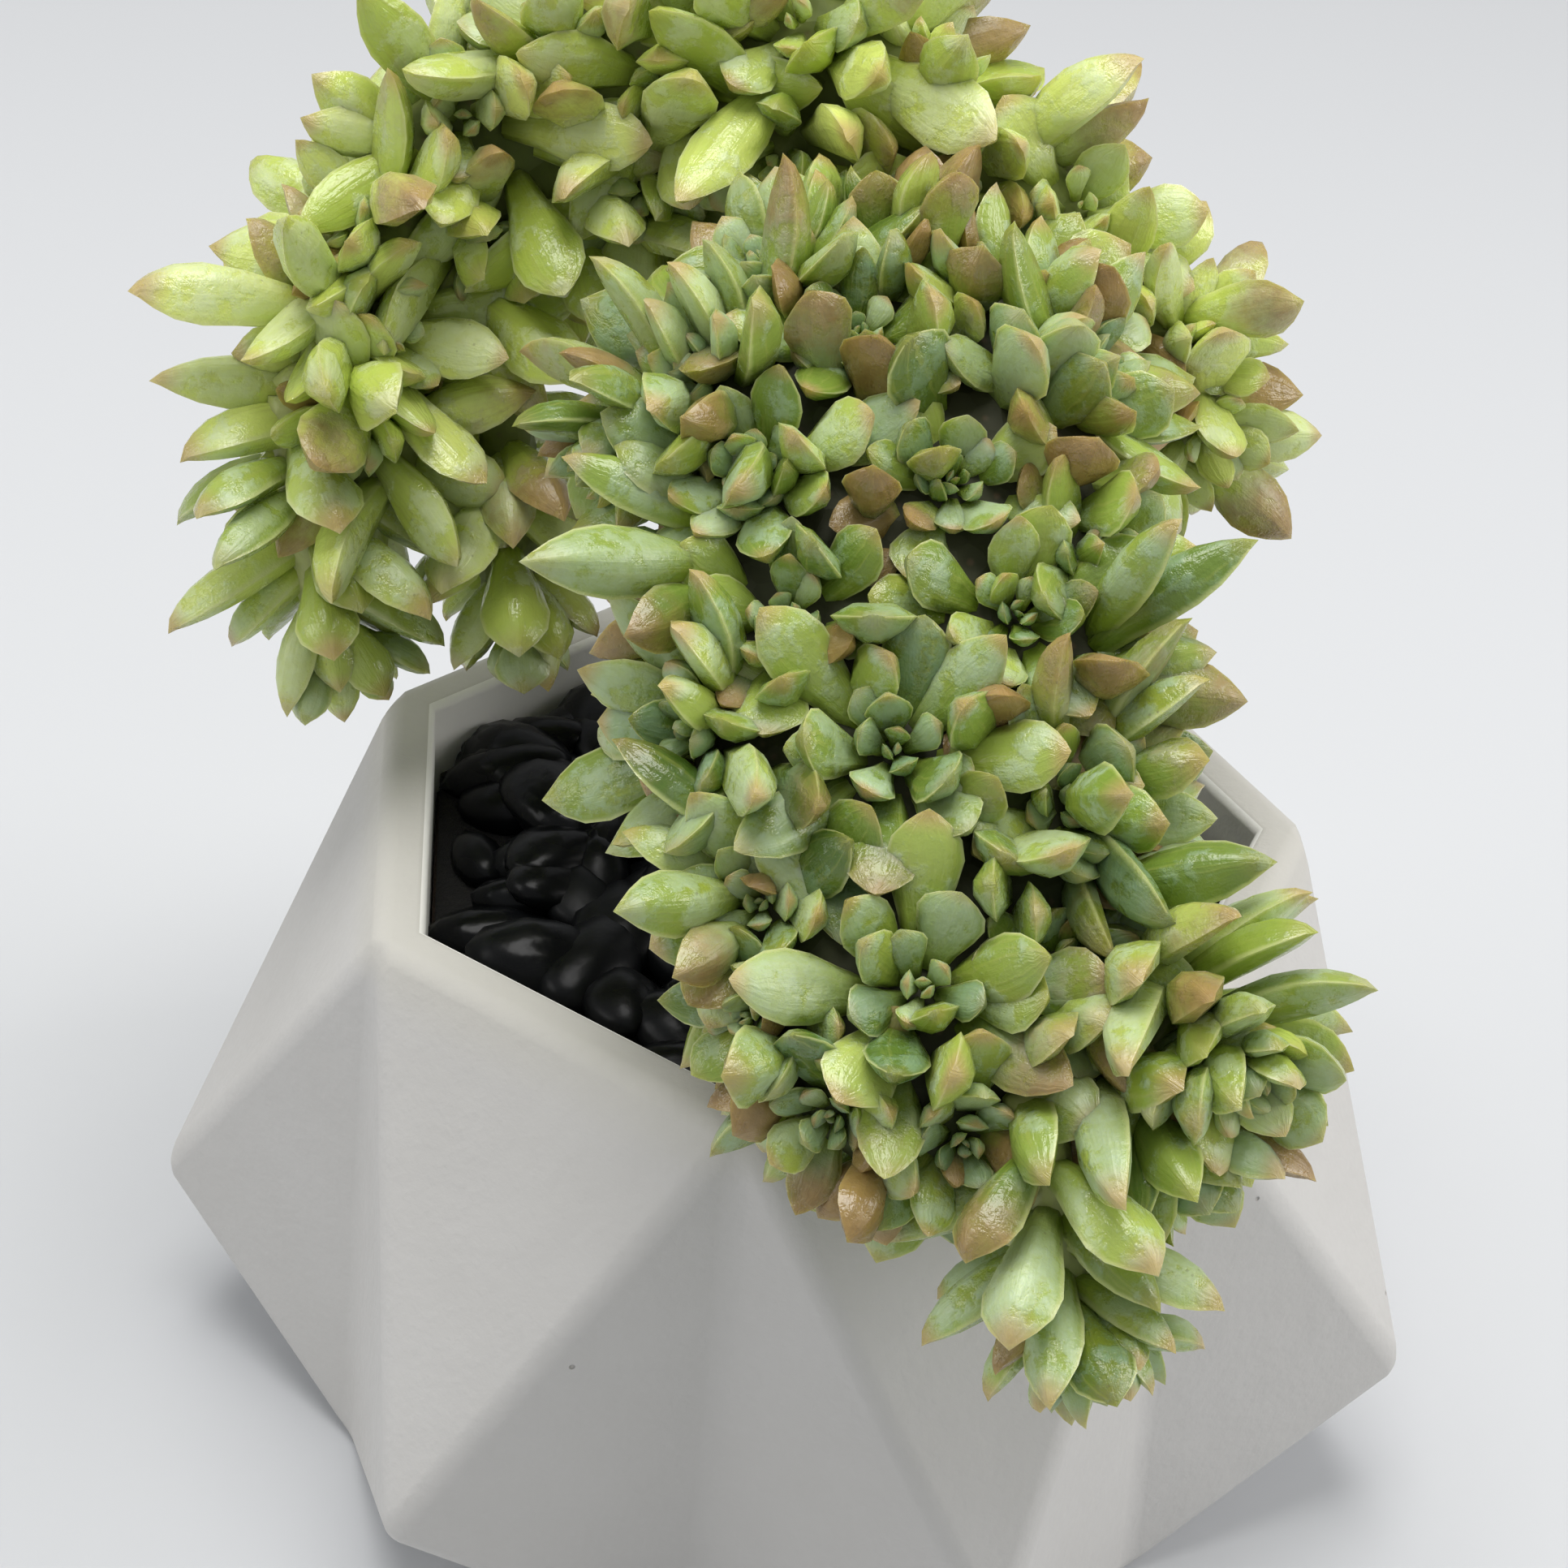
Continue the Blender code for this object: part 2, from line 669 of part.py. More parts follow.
def leaf_mesh(leaf, fatter=0.0):
    """A boat-shaped solid: four-sided sections, a nearly flat upper face, a keel and a pointed tip."""
    forward = leaf.points_to
    up = leaf.faces_to - forward * (leaf.faces_to @ forward)
    if np.linalg.norm(up) < 0.05:
        up = np.cross(forward, (0.6, 0.0, 0.8))
    up = unit(up)
    side = np.cross(forward, up)
    narrow = min(FULL_WIDTH_LENGTH / leaf.length, 1.0) ** NARROWING
    half_width = leaf.length * LEAF_HALF_WIDTH * leaf.breadth * narrow
    half_thickness = max(leaf.length * LEAF_HALF_THICKNESS, 0.9)
    ring = ((-1.0, 0.1), (0.0, 0.42), (1.0, 0.1), (0.0, -1.0))
    sections = LEAF_SECTIONS if leaf.length > SHORT_LEAF else SHORT_SECTIONS
    points = []
    for place, width in sections:
        middle = leaf.root + forward * leaf.length * place
        middle = middle + up * leaf.length * leaf.bend * place * place
        for across, over in ring:
            points.append(
                middle
                + side * across * (half_width * width + fatter)
                + up * over * (half_thickness * width + fatter)
            )
    tip = leaf.root + forward * (leaf.length + fatter) + up * leaf.length * leaf.bend
    points.append(tip)
    count = len(ring)
    faces = [tuple(range(count))]
    for j in range(len(sections) - 1):
        for k in range(count):
            after = (k + 1) % count
            faces.append(
                (j * count + k, j * count + after, (j + 1) * count + after, (j + 1) * count + k)
            )
    last = (len(sections) - 1) * count
    for k in range(count):
        faces.append((last + k, last + (k + 1) % count, len(points) - 1))
    return outward_mesh("leaf", points, faces)


# Joining and clearance


def fuse(name, body, pieces):
    """One Boolean union of a body with its pieces; the largest closed shell is kept."""
    group = bpy.data.collections.new(name + "_pieces")
    bpy.context.scene.collection.children.link(group)
    for mesh in pieces:
        group.objects.link(bpy.data.objects.new("piece", mesh))
    whole = bpy.data.objects.new(name + "_body", body)
    bpy.context.scene.collection.objects.link(whole)
    union = whole.modifiers.new("union", "BOOLEAN")
    union.operation = "UNION"
    union.operand_type = "COLLECTION"
    union.collection = group
    union.solver = "MANIFOLD"
    graph = bpy.context.evaluated_depsgraph_get()
    fused = bpy.data.meshes.new_from_object(whole.evaluated_get(graph))
    for thing in [whole, *group.objects]:
        bpy.data.objects.remove(thing)
    bpy.data.collections.remove(group)
    return largest_shell(name, fused)


def largest_shell(name, mesh):
    """The mesh without sealed hollows and loose scraps."""
    shape = bmesh.new()
    shape.from_mesh(mesh)
    bmesh.ops.triangulate(shape, faces=shape.faces)
    shells = []
    left = set(shape.faces)
    while left:
        shell = {left.pop()}
        edge_faces = list(shell)
        while edge_faces:
            face = edge_faces.pop()
            for edge in face.edges:
                for other in edge.link_faces:
                    if other in left:
                        left.remove(other)
                        shell.add(other)
                        edge_faces.append(other)
        shells.append(shell)
    largest = max(shells, key=len)
    dropped = [face for face in shape.faces if face not in largest]
    bmesh.ops.delete(shape, geom=dropped, context="FACES")
    bmesh.ops.dissolve_limit(
        shape, angle_limit=FLAT_ANGLE, verts=shape.verts, edges=shape.edges
    )
    bmesh.ops.triangulate(shape, faces=shape.faces)
    kept = bpy.data.meshes.new(name)
    shape.to_mesh(kept)
    shape.free()
    return kept


def tree_of(mesh):
    points = [vertex.co.copy() for vertex in mesh.vertices]
    return BVHTree.FromPolygons(points, [tuple(face.vertices) for face in mesh.polygons])


def ball_of(leaf):
    """Middle and radius of a ball that holds the leaf."""
    return leaf.root + leaf.points_to * leaf.length * 0.5, leaf.length * 0.62


def clear_leaves(leaves, others, placed):
    """The leaves that lie clear of the other nodes' solids and of the leaves already placed on them."""
    kept = []
    for leaf in leaves:
        fat = tree_of(leaf_mesh(leaf, fatter=CLEAR + 0.1))
        if any(fat.overlap(tree) for tree in others):
            continue
        middle, radius = ball_of(leaf)
        near = [
            tree
            for other, tree in placed
            if np.linalg.norm(ball_of(other)[0] - middle) < radius + ball_of(other)[1]
        ]
        if any(fat.overlap(tree) for tree in near):
            continue
        kept.append(leaf)
    return kept


def band_is_bare(spot):
    """Where the band's trunk meets its underside, no leaf grows."""
    under = spot @ np.array((0.0, -0.62, 0.78)) < 143.0
    return under and abs(spot[0] - 9.0) < 11.0 and spot[1] > -72.0


def ridge_is_bare(spot):
    """Where the ridge's trunk meets its underside, no leaf grows."""
    return spot[2] < 178.0 and abs(spot[0] + 12.0) < 18.0


def trunk(hole, rows, across):
    """A trunk that stands upright in its hole and then follows its rows."""
    heights = (HOLE_FLOOR + CLEAR, 64.0, 82.0, 98.0)
    foot = [(*hole, height, STEM_FOOT_RADIUS, STEM_FOOT_RADIUS) for height in heights]
    return Stem(foot + rows, across, round_start=False)


def seated_shoot(carrier, tree, along, turn, radius, rows):
    """A shoot whose flat foot stands just off the carrier's skin, with its first stretch square to it."""
    axis = carrier.outward(along, math.radians(turn))
    above = carrier.skin(along, math.radians(turn)) + axis * 20.0
    place, normal, _, _ = tree.ray_cast(Vector(above), Vector(-axis))
    place, normal = np.array(place), np.array(normal)
    foot = [(*(place + normal * rise), radius, radius) for rise in (CLEAR, CLEAR + 4.0)]
    return Stem(foot + rows, (0.2, 0.3, 0.93), round_start=False)


def core_mesh(name, stem):
    """A stem's faceted body, with fewer facets where it is thin."""
    thin = stem.rows[:, 3].max() <= THIN_STEM
    return stem.mesh(name, *(THIN_DETAIL if thin else THICK_DETAIL))


def make_plant(material, fixed):
    """The crested plant: a ridge and a band that falls over the rim, and three side shoots."""
    draw = np.random.default_rng(SEED)
    stems = {
        "crest_ridge": [Stem(RIDGE, (0, 0, 1)), trunk(STEM_HOLES[0], RIDGE_TRUNK, (1, 0, 0))],
        "crest_band": [Stem(BAND, (1, 0, 0)), trunk(STEM_HOLES[1], BAND_TRUNK, (1, 0, 0))],
    }
    branches = [Stem(rows, (0, 1, 0)) for _, rows, _, _ in BRANCHES]
    for (name, *_), branch in zip(BRANCHES, branches):
        stems[name].append(branch)
    cores = {name: [core_mesh(name, stem) for stem in held] for name, held in stems.items()}
    trees = {name: [tree_of(mesh) for mesh in meshes] for name, meshes in cores.items()}
    groups = {}
    for name, (on, along, turn, radius, length, rows) in SHOOTS.items():
        shoot = seated_shoot(stems[on][0], trees[on][0], along, turn, radius, rows)
        stems[name] = [shoot]
        cores[name] = [core_mesh(name, shoot)]
        trees[name] = [tree_of(cores[name][0])]
        groups[name] = shoot_leaves(shoot, length, SHOOT_LEAVES, draw)

    for name, rosettes, spacing, bare in (
        ("crest_band", BAND_ROSETTES, BAND_SPACING, band_is_bare),
        ("crest_ridge", RIDGE_ROSETTES, RIDGE_SPACING, ridge_is_bare),
    ):
        groups[name] = stem_leaves(
            stems[name][0], trees[name][0], rosettes, spacing, draw, bare
        )
    for (name, _, length, count), branch in zip(BRANCHES, branches):
        groups[name] += shoot_leaves(branch, length, count, draw)
    every_leaf = [leaf for leaves in groups.values() for leaf in leaves]
    pack_leaves(every_leaf, [stem for held in stems.values() for stem in held])

    placed = []
    for name, leaves in groups.items():
        others = fixed + [tree for other, held in trees.items() if other != name for tree in held]
        kept = clear_leaves(leaves, others, placed)
        meshes = [leaf_mesh(leaf) for leaf in kept]
        placed += [(leaf, tree_of(mesh)) for leaf, mesh in zip(kept, meshes)]
        fused = fuse(name, cores[name][0], cores[name][1:] + meshes)
        add_object(name, fused, material)


def scene_tree(thing):
    """A search tree of an object's mesh, back in millimetres."""
    points = [vertex.co / MM for vertex in thing.data.vertices]
    return BVHTree.FromPolygons(points, [tuple(face.vertices) for face in thing.data.polygons])


def main():
    clear_scene()
    ceramic = finish("matt_white_ceramic", (0.66, 0.64, 0.62), 0.72)
    earth = finish("potting_soil", (0.05, 0.035, 0.025), 0.95)
    black = finish("polished_black_stone", (0.012, 0.013, 0.016), 0.12)
    green = finish("succulent_leaf", (0.24, 0.38, 0.12), 0.45)
    pot = make_pot(ceramic)
    soil = make_soil(earth)
    stones = make_stones(black)
    make_plant(green, [scene_tree(thing) for thing in (pot, soil, stones)])


main()
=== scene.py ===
# The potted crested succulent, dressed: fine leaves, stems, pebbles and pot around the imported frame.
# Layout lengths are in millimetres and become metres as each mesh is made. +Z is up.
import json
from math import cos, pi, radians, sin, sqrt, tan, tau

import bmesh
import bpy
import numpy as np
from mathutils import Matrix, Vector, noise
from mathutils.bvhtree import BVHTree

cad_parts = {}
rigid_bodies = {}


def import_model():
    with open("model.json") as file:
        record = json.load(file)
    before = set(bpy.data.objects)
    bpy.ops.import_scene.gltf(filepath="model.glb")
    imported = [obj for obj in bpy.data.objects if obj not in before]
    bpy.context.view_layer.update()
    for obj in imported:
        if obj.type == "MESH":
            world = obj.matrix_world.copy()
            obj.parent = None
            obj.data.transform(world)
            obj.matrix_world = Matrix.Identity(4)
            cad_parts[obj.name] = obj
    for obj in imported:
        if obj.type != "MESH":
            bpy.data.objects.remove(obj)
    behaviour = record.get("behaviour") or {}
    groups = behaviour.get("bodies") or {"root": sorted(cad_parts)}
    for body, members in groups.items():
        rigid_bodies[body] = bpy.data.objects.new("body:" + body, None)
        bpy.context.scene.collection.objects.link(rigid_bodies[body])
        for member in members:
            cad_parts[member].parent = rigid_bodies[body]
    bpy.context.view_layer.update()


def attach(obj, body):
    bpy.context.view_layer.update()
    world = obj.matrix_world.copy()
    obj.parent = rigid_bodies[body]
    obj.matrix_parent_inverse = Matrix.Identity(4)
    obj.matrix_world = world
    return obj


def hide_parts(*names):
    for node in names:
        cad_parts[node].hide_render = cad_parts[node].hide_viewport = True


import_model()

MM = 0.001
CLEAR = 0.3
SEED = 7
GOLDEN_ANGLE = radians(137.5)

# Pot
SIDES = 7
POT_TURN = radians(-7.0)
RIM_RADIUS = 75.0
POT_HEIGHT = 100.0
POINT_RADIUS = 104.0
POINT_HEIGHT = 28.0
FOOT_RADIUS = 80.0
MOUTH_RADIUS = 67.2
CUP_FLOOR = 9.0

# Soil and stones
SOIL_TOP = 83.0
BED_TOP = 88.5
BED_INSET = 1.0
HOLE_FLOOR = 48.0
STONE_COUNT = 34
STONE_LENGTHS = (15.0, 28.0)
LEAST_STONE_WIDTH = 0.26
STONE_TRIES = 6000
# How far from a stone's middle its ends are tested, and how near two stones' middles may lie
STONE_END = 0.34
STONE_NEAR = 0.24
STONE_OVERLAP = 0.5
STONE_UNDER_STEM = 3.0
STEM_HOLES = ((-2.0, 35.0), (9.0, 2.0))
STEM_FOOT_RADIUS = 9.0
HOLE_RADIUS = STEM_FOOT_RADIUS + 2 * CLEAR

# Stems: each row is a point on the spine, then the half width and the half thickness there.
# "across" is the way in which the half width lies.
# The trunks start in their holes, so each list holds only what comes above the stones.
RIDGE_TRUNK = [
    (-4, 37, 108, 9.5, 9), (-8, 40, 136, 12, 9.5), (-12, 43, 164, 16, 9), (-14, 45, 184, 17, 8),
]
BAND_TRUNK = [
    (9, -2, 106, 10, 9), (9, -14, 128, 13, 9), (10, -29, 148, 19, 8), (10, -40, 158, 21, 6),
]
RIDGE = [
    (-68, 12, 144, 10, 7), (-76, 24, 159, 13, 8), (-65, 39, 178, 16, 8),
    (-43, 46, 190, 20, 9), (-18, 45, 196, 21, 10), (4, 36, 192, 19, 9),
    (24, 26, 181, 16, 8), (41, 20, 169, 12, 7), (53, 17, 160, 8, 6),
]
BAND = [
    (0, 15, 187, 16, 7), (2, 1, 187, 24, 8), (5, -15, 180, 28, 8),
    (7, -36, 164, 29, 8), (10, -58, 145, 28, 8), (13, -77, 128, 24, 8),
    (13, -94, 112, 16, 7),
]
# Short branches: the stem that carries each, its spine, its leaf length and its number of leaves.
# The band has one on its left and one at its low right corner; the third hangs from the ridge.
BRANCHES = [
    ("crest_band", [(-12, -10, 181, 6, 5), (-26, -13, 179, 5, 4), (-34, -20, 174, 4, 4)], 22.0, 13),
    ("crest_band", [(27, -79, 125, 6, 5), (40, -83, 121, 4, 4), (47, -89, 115, 4, 4)], 28.0, 11),
    ("crest_ridge", [(-58, 36, 172, 7, 6), (-54, 28, 144, 5, 5), (-51, 20, 118, 4, 4)], 27.0, 18),
]
# The part of a stem's length over which a rounded end closes
ROUNDED = 0.12
# Sides and stations of the plain stems that the leaves are rooted on
THICK_DETAIL = (10, 10)
THIN_DETAIL = (6, 6)
# Side shoots: the stem that carries each, how far along it and at what turn in degrees it leaves,
# its radius there, its leaf length, and the rest of its spine.
SHOOTS = {
    "low_shoot": (
        "crest_band", 0.94, 60, 3.6, 25.0, [(34, -98, 103, 3.2, 3.2), (38, -105, 96, 2.6, 2.6)]
    ),
    "right_shoot": (
        "crest_band", 0.8, 92, 3.8, 27.0, [(49, -79, 130, 3.4, 3.4), (54, -88, 130, 2.8, 2.8)]
    ),
    "left_shoot": (
        "crest_ridge", 0.1, 165, 3.8, 25.0, [(-80, 9, 135, 3.6, 3.6), (-76, 6, 120, 2.8, 2.8)]
    ),
}

# Rosettes: how far along the stem, the turn round it, the leaf length and the number of leaves.
# On the ridge a turn of 0 faces the front and 90 the top; on the band 0 faces up and forward, 90 right.
RIDGE_ROSETTES = [
    (0.05, -20, 22, 6), (0.06, 150, 20, 6), (0.155, 38, 27, 8), (0.15, -65, 22, 6),
    (0.2, 95, 24, 6), (0.22, -72, 28, 6), (0.26, -10, 24, 6), (0.3, 50, 26, 6),
    (0.38, 85, 26, 6), (0.34, -65, 29, 6), (0.4, -20, 25, 6), (0.44, 20, 22, 6),
    (0.53, 55, 31, 6), (0.54, 0, 26, 6), (0.62, 100, 18, 6), (0.67, 30, 20, 6),
    (0.74, 70, 18, 6), (0.8, 20, 19, 6), (0.89, 75, 17, 6), (0.9, -35, 16, 6),
    (0.96, 30, 16, 6),
]
BAND_ROSETTES = [
    (0.16, 50, 18, 6), (0.27, -12, 16, 7), (0.28, -78, 26, 6), (0.31, 76, 22, 6),
    (0.41, -45, 19, 8), (0.42, 13, 15, 7), (0.47, 66, 15, 7), (0.47, -98, 28, 6),
    (0.53, 30, 17, 7), (0.53, -32, 16, 6), (0.57, 98, 26, 7), (0.61, -78, 25, 7),
    (0.635, -5, 22, 8), (0.665, 84, 25, 7), (0.675, 50, 16, 7), (0.74, -100, 22, 6),
    (0.75, -50, 16, 6), (0.76, 98, 25, 7), (0.835, 0, 24, 7), (0.82, 55, 14, 7),
    (0.86, -68, 14, 6), (0.955, -45, 15, 6), (0.965, 30, 17, 6),
]
BAND_SPACING = (22.0, 13.0)
RIDGE_SPACING = (23.5, 16.0)
HIDDEN_LENGTHS = (17.0, 23.0)
HIDDEN_LEAVES = 5
SHOOT_LEAVES = 19
FACING_SPACE = 12.0
FILLER_LENGTHS = (12.0, 17.0)

# Leaf form, as parts of its length
LEAF_HALF_WIDTH = 0.29
# Leaves longer than this are narrower for their length, by this power
FULL_WIDTH_LENGTH = 15.0
NARROWING = 0.75
LEAF_BEND = 0.16
ROOT_SINK = 1.5
ROSETTE_RING = 0.27
# Lean from the growing axis: degrees outside, how much it falls inwards, and the fall's power
ROSETTE_LEAN = (70.0, 50.0, 2.0)
SHOOT_LEAN = (80.0, 52.0, 1.6)
BUD_LEAN = (62.0, 46.0, 1.0)
# Size, as a part of the longest leaf's: outside, how much it falls inwards, and the fall's power
ROSETTE_SIZE = (1.0, 0.48, 1.7)
SHOOT_SIZE = (1.0, 0.55, 1.8)
BUD_SIZE = (0.46, 0.33, 1.0)
# Where up a shoot its leaves start, and over how much of its length they spread
SHOOT_SPREAD = (0.42, 0.56)
# Places tried for rosettes and single leaves along a crest, the degrees between those round it,
# and how far each strays
SPOT_PLACES = (14, 30)
SPOT_STRAY = (0.03, 14.0)

# Packing of the leaves against each other
PACK_ROUNDS = 36
PACK_PLACES = (0.45, 0.72, 0.96)
PACK_RADII = (0.18, 0.19, 0.08)
# How much of each turn is made in a round, and how far a leaf then swings back to where it started
PACK_TURN = 0.5
PACK_RETURN = 0.1
# Balls along each stem, the part of a leaf's thickness kept off them, and its length by the root
# that isn't
STEM_BALLS = 14
STEM_SHARE = 0.6
ROOT_LENGTH = 3.0
# Room that the leaves leave for the pot: over the stones, and over and outside the rim
LEAST_HEIGHT = 99.0
STONES_REACH = 58.0
RIM_REACH = 66.0
RIM_GAP = 1.0

# Leaves that only the dressed plant has
# Numbers of small leaves at the heart of a rosette, between its leaves and under it
EXTRA_LEAVES = {"crest_band": (9, 3, 3), "crest_ridge": (6, 1, 1)}
# Their lean in degrees, their distance from the middle and their size, as parts of the leaf length
MIDDLE_RING = ((44, 60), 0.2, (0.6, 0.8))
UNDER_RING = ((74, 86), 0.42, (0.7, 0.95))
# Leaves that fill the gaps: their lengths and the room that each needs
FILLS = {"crest_band": (11.0, 18.0, 4.7), "crest_ridge": (18.0, 28.0, 5.9)}
FILL_HEIGHT = 6.5
FILL_SWAY = (0.1, 0.8)
FILL_PLUMPNESS = 1.15
FILL_OLD_SHARE = 0.35
SHOOT_BUD_LEAVES = 9
# Further leaves up each side shoot and branch, and their length as a part of the first ones'
SHOOT_MORE_LEAVES = 9
SHOOT_MORE_LENGTH = 0.85
# Places tried along a crest and round it, and how far each strays
FINE_PLACES = (64, 40)
FINE_STRAY = (0.008, 4.0)
EXTRA_SEED = 23

# How yellow the least and the most yellow leaf of each piece are; yellow leaves are also brighter, and
# the ridge's high values are partly painted light for the lit top of the plant
WARMTH_AND_PAINTED_LIGHT = {
    "crest_band": (0.0, 0.45),
    "crest_ridge": (0.7, 1.0),
    "low_shoot": (0.05, 0.35),
    "right_shoot": (0.25, 0.65),
    "left_shoot": (0.35, 0.8),
}
# Dark and light of each crest's green bark, with painted shading in them, and the height in metres up to
# which its trunk is woody
BARK_AND_PAINTED_SHADING = {
    # The band's bark is painted near black: painted shade in the gaps between its leaves
    "crest_band": ((0.02, 0.023, 0.007), (0.05, 0.05, 0.018), 0.15),
    # The ridge's bark is painted lighter: painted light that lifts the shade in the gaps between its
    # leaves
    "crest_ridge": ((0.12, 0.15, 0.026), (0.23, 0.27, 0.06), 0.165),
}
# How often a leaf has turned tan, and how often one that lies low in its rosette has
TAN_SHARE = 0.16
OLD_TAN_SHARE = 0.6
# The longest leaf that turns tan all over
TAN_LENGTH = 16.0
# How many vein waves lie across a leaf and along it
VEIN_STRETCH = (12.0, 1.6, 0.0)

# Fine leaf forms, as parts of the leaf's length: place along it, width and thickness there
OVAL_SECTIONS = (
    (0.0, 0.4, 0.6), (0.22, 0.64, 0.84), (0.42, 0.93, 1.0), (0.59, 1.0, 0.98),
    (0.74, 0.85, 0.86), (0.86, 0.55, 0.62), (0.945, 0.25, 0.34),
)
WEDGE_SECTIONS = (
    (0.0, 0.38, 0.6), (0.24, 0.56, 0.84), (0.47, 0.85, 1.0), (0.65, 1.0, 1.02),
    (0.79, 0.89, 0.88), (0.89, 0.58, 0.62), (0.955, 0.27, 0.34),
)
FINE_THICKNESS = 0.19
# Rings round a leaf, across and over: rounded at its foot, flatter above and keeled below at its tip
FOOT_RING = (
    (-1.0, 0.0), (-0.6, 0.58), (0.6, 0.58), (1.0, 0.0),
    (0.82, -0.62), (0.36, -1.0), (-0.36, -1.0), (-0.82, -0.62),
)
TIP_RING = (
    (-1.0, 0.0), (-0.52, 0.32), (0.52, 0.32), (1.0, 0.0),
    (0.64, -0.48), (0.12, -1.05), (-0.12, -1.05), (-0.64, -0.48),
)
FORM_BENDS = (0.03, 0.08, 0.13, 0.19)
TIP_RISE = 0.02
# The corners of a ring that lie on the leaf's margins
MARGINS = (0, 3)
BROAD_LEAF = 1.03
LEAF_WOBBLE = 0.05

# Stems: sides and stations of wide and narrow ones, and the knots of their skin
WIDE_STEM = 6.0
WIDE_DETAIL = (40, 64)
NARROW_DETAIL = (20, 30)
KNOT_SCALE = 0.35
KNOT_DEPTH = 0.7

# Pot: how wide its edges are rounded and in how many steps
POT_EDGE = (2.4, 5)
MOUTH_EDGE = (1.6, 4)

# Stones: widths and heights as parts of their length, lift over the bed, tilt, forms and size wobble
LARGE_STONE = ((0.56, 0.68), (0.36, 0.46), (1.5, 3.6), 0.2, 6, 0.04)
SMALL_STONE = ((0.5, 0.68), (0.36, 0.5), (-1.5, 3.0), 0.4, 5, 0.1)
SMALL_STONES = 190
SMALL_STONE_HALF = (6.5, 12.0)
# Lumps of a pebble: their scale, and how much finer and how high each of two waves is
LUMP_SCALE = 0.9
LUMPS = ((1.0, 0.16), (2.3, 0.05))
# How much higher the stones lie at the back of the mouth, and how near the wall they come
HEAP_AT_BACK = 3.0
WALL_SHARE = 0.62
STONE_MARGIN = 1.0
BED_SINK = 1.5

# Floor, light and camera: their sizes and places are in metres
FLOOR_HALF = 4.0
WORLD_STRENGTH = 0.38
LIGHT_AIM = (0.0, 0.0, 0.1)
# Each light's name, place, size, power and colour
LIGHTS = (
    ("overhead", (-0.1, 0.1, 1.4), 1.0, 15.0, (1.0, 0.99, 0.97)),
    ("window", (-1.3, -0.2, 0.8), 0.8, 3.8, (1.0, 0.99, 0.97)),
    ("fill", (1.3, 0.0, 0.8), 0.9, 9.2, (1.0, 0.98, 0.96)),
)
CAMERA_RISE = 35.26
CAMERA_ROLL = 4.5
CAMERA_AIM = (-0.0069, 0.06528, 0.06)
CAMERA_DISTANCE = 0.6191
CAMERA_LENS = 80.94


def mesh_from(name, points, faces):
    mesh = bpy.data.meshes.new(name)
    mesh.from_pydata([tuple(p) for p in points], [], faces)
    mesh.update()
    return mesh


def shape_of(mesh):
    shape = bmesh.new()
    shape.from_mesh(mesh)
    return shape


def mesh_of(name, shape):
    """A new mesh from a shape, which is then let go."""
    mesh = bpy.data.meshes.new(name)
    shape.to_mesh(mesh)
    shape.free()
    return mesh


def new_object(name, data):
    """A new object at the origin, linked to the scene."""
    thing = bpy.data.objects.new(name, data)
    bpy.context.scene.collection.objects.link(thing)
    return thing


def unit(vector):
    return vector / np.linalg.norm(vector)


def square_to(axis, vector):
    """The part of a direction that is square to an axis, at unit length."""
    return unit(vector - axis * (vector @ axis))


def ring_faces(rings, sides):
    """Faces that join each ring of points to the next."""
    faces = []
    for low in range(0, (rings - 1) * sides, sides):
        for k in range(sides):
            after = (k + 1) % sides
            faces.append((low + k, low + after, low + sides + after, low + sides + k))
    return faces


def heptagon(radius, height, half_steps=0):
    """Corner points of the pot's plan at one height; half_steps of 1 gives the points between corners."""
    corners = []
    for k in range(SIDES):
        angle = POT_TURN + (k + half_steps / 2) * tau / SIDES
        corners.append((radius * sin(angle), -radius * cos(angle), height))
    return corners


def stone_places(draw):
    """Middles, lengths and turns of the stones: spread over the mouth, clear of stems and wall."""
    wall = MOUTH_RADIUS * cos(pi / SIDES)
    places = []
    tries = 0
    while len(places) < STONE_COUNT and tries < STONE_TRIES:
        tries += 1
        length = draw.uniform(*STONE_LENGTHS)
        turn = draw.uniform(0.0, pi)
        radius = wall * sqrt(draw.uniform(0.0, 1.0))
        angle = draw.uniform(0.0, tau)
        spot = np.array([radius * cos(angle), radius * sin(angle)])
        lies = np.array([cos(turn), sin(turn)]) * length * STONE_END
        ends = [spot - lies, spot, spot + lies]
        reach = length * LEAST_STONE_WIDTH + CLEAR
        if any(np.linalg.norm(end) + reach > wall for end in ends):
            continue
        gaps = [np.linalg.norm(end - hole) - HOLE_RADIUS for hole in STEM_HOLES for end in ends]
        if min(gaps) < reach - STONE_UNDER_STEM:
            continue
        near = [
            np.linalg.norm(spot - other) - STONE_NEAR * (length + size)
            for other, size, _ in places
        ]
        if near and min(near) < -STONE_OVERLAP:
            continue
        places.append((spot, length, turn))
    return places


# Stems


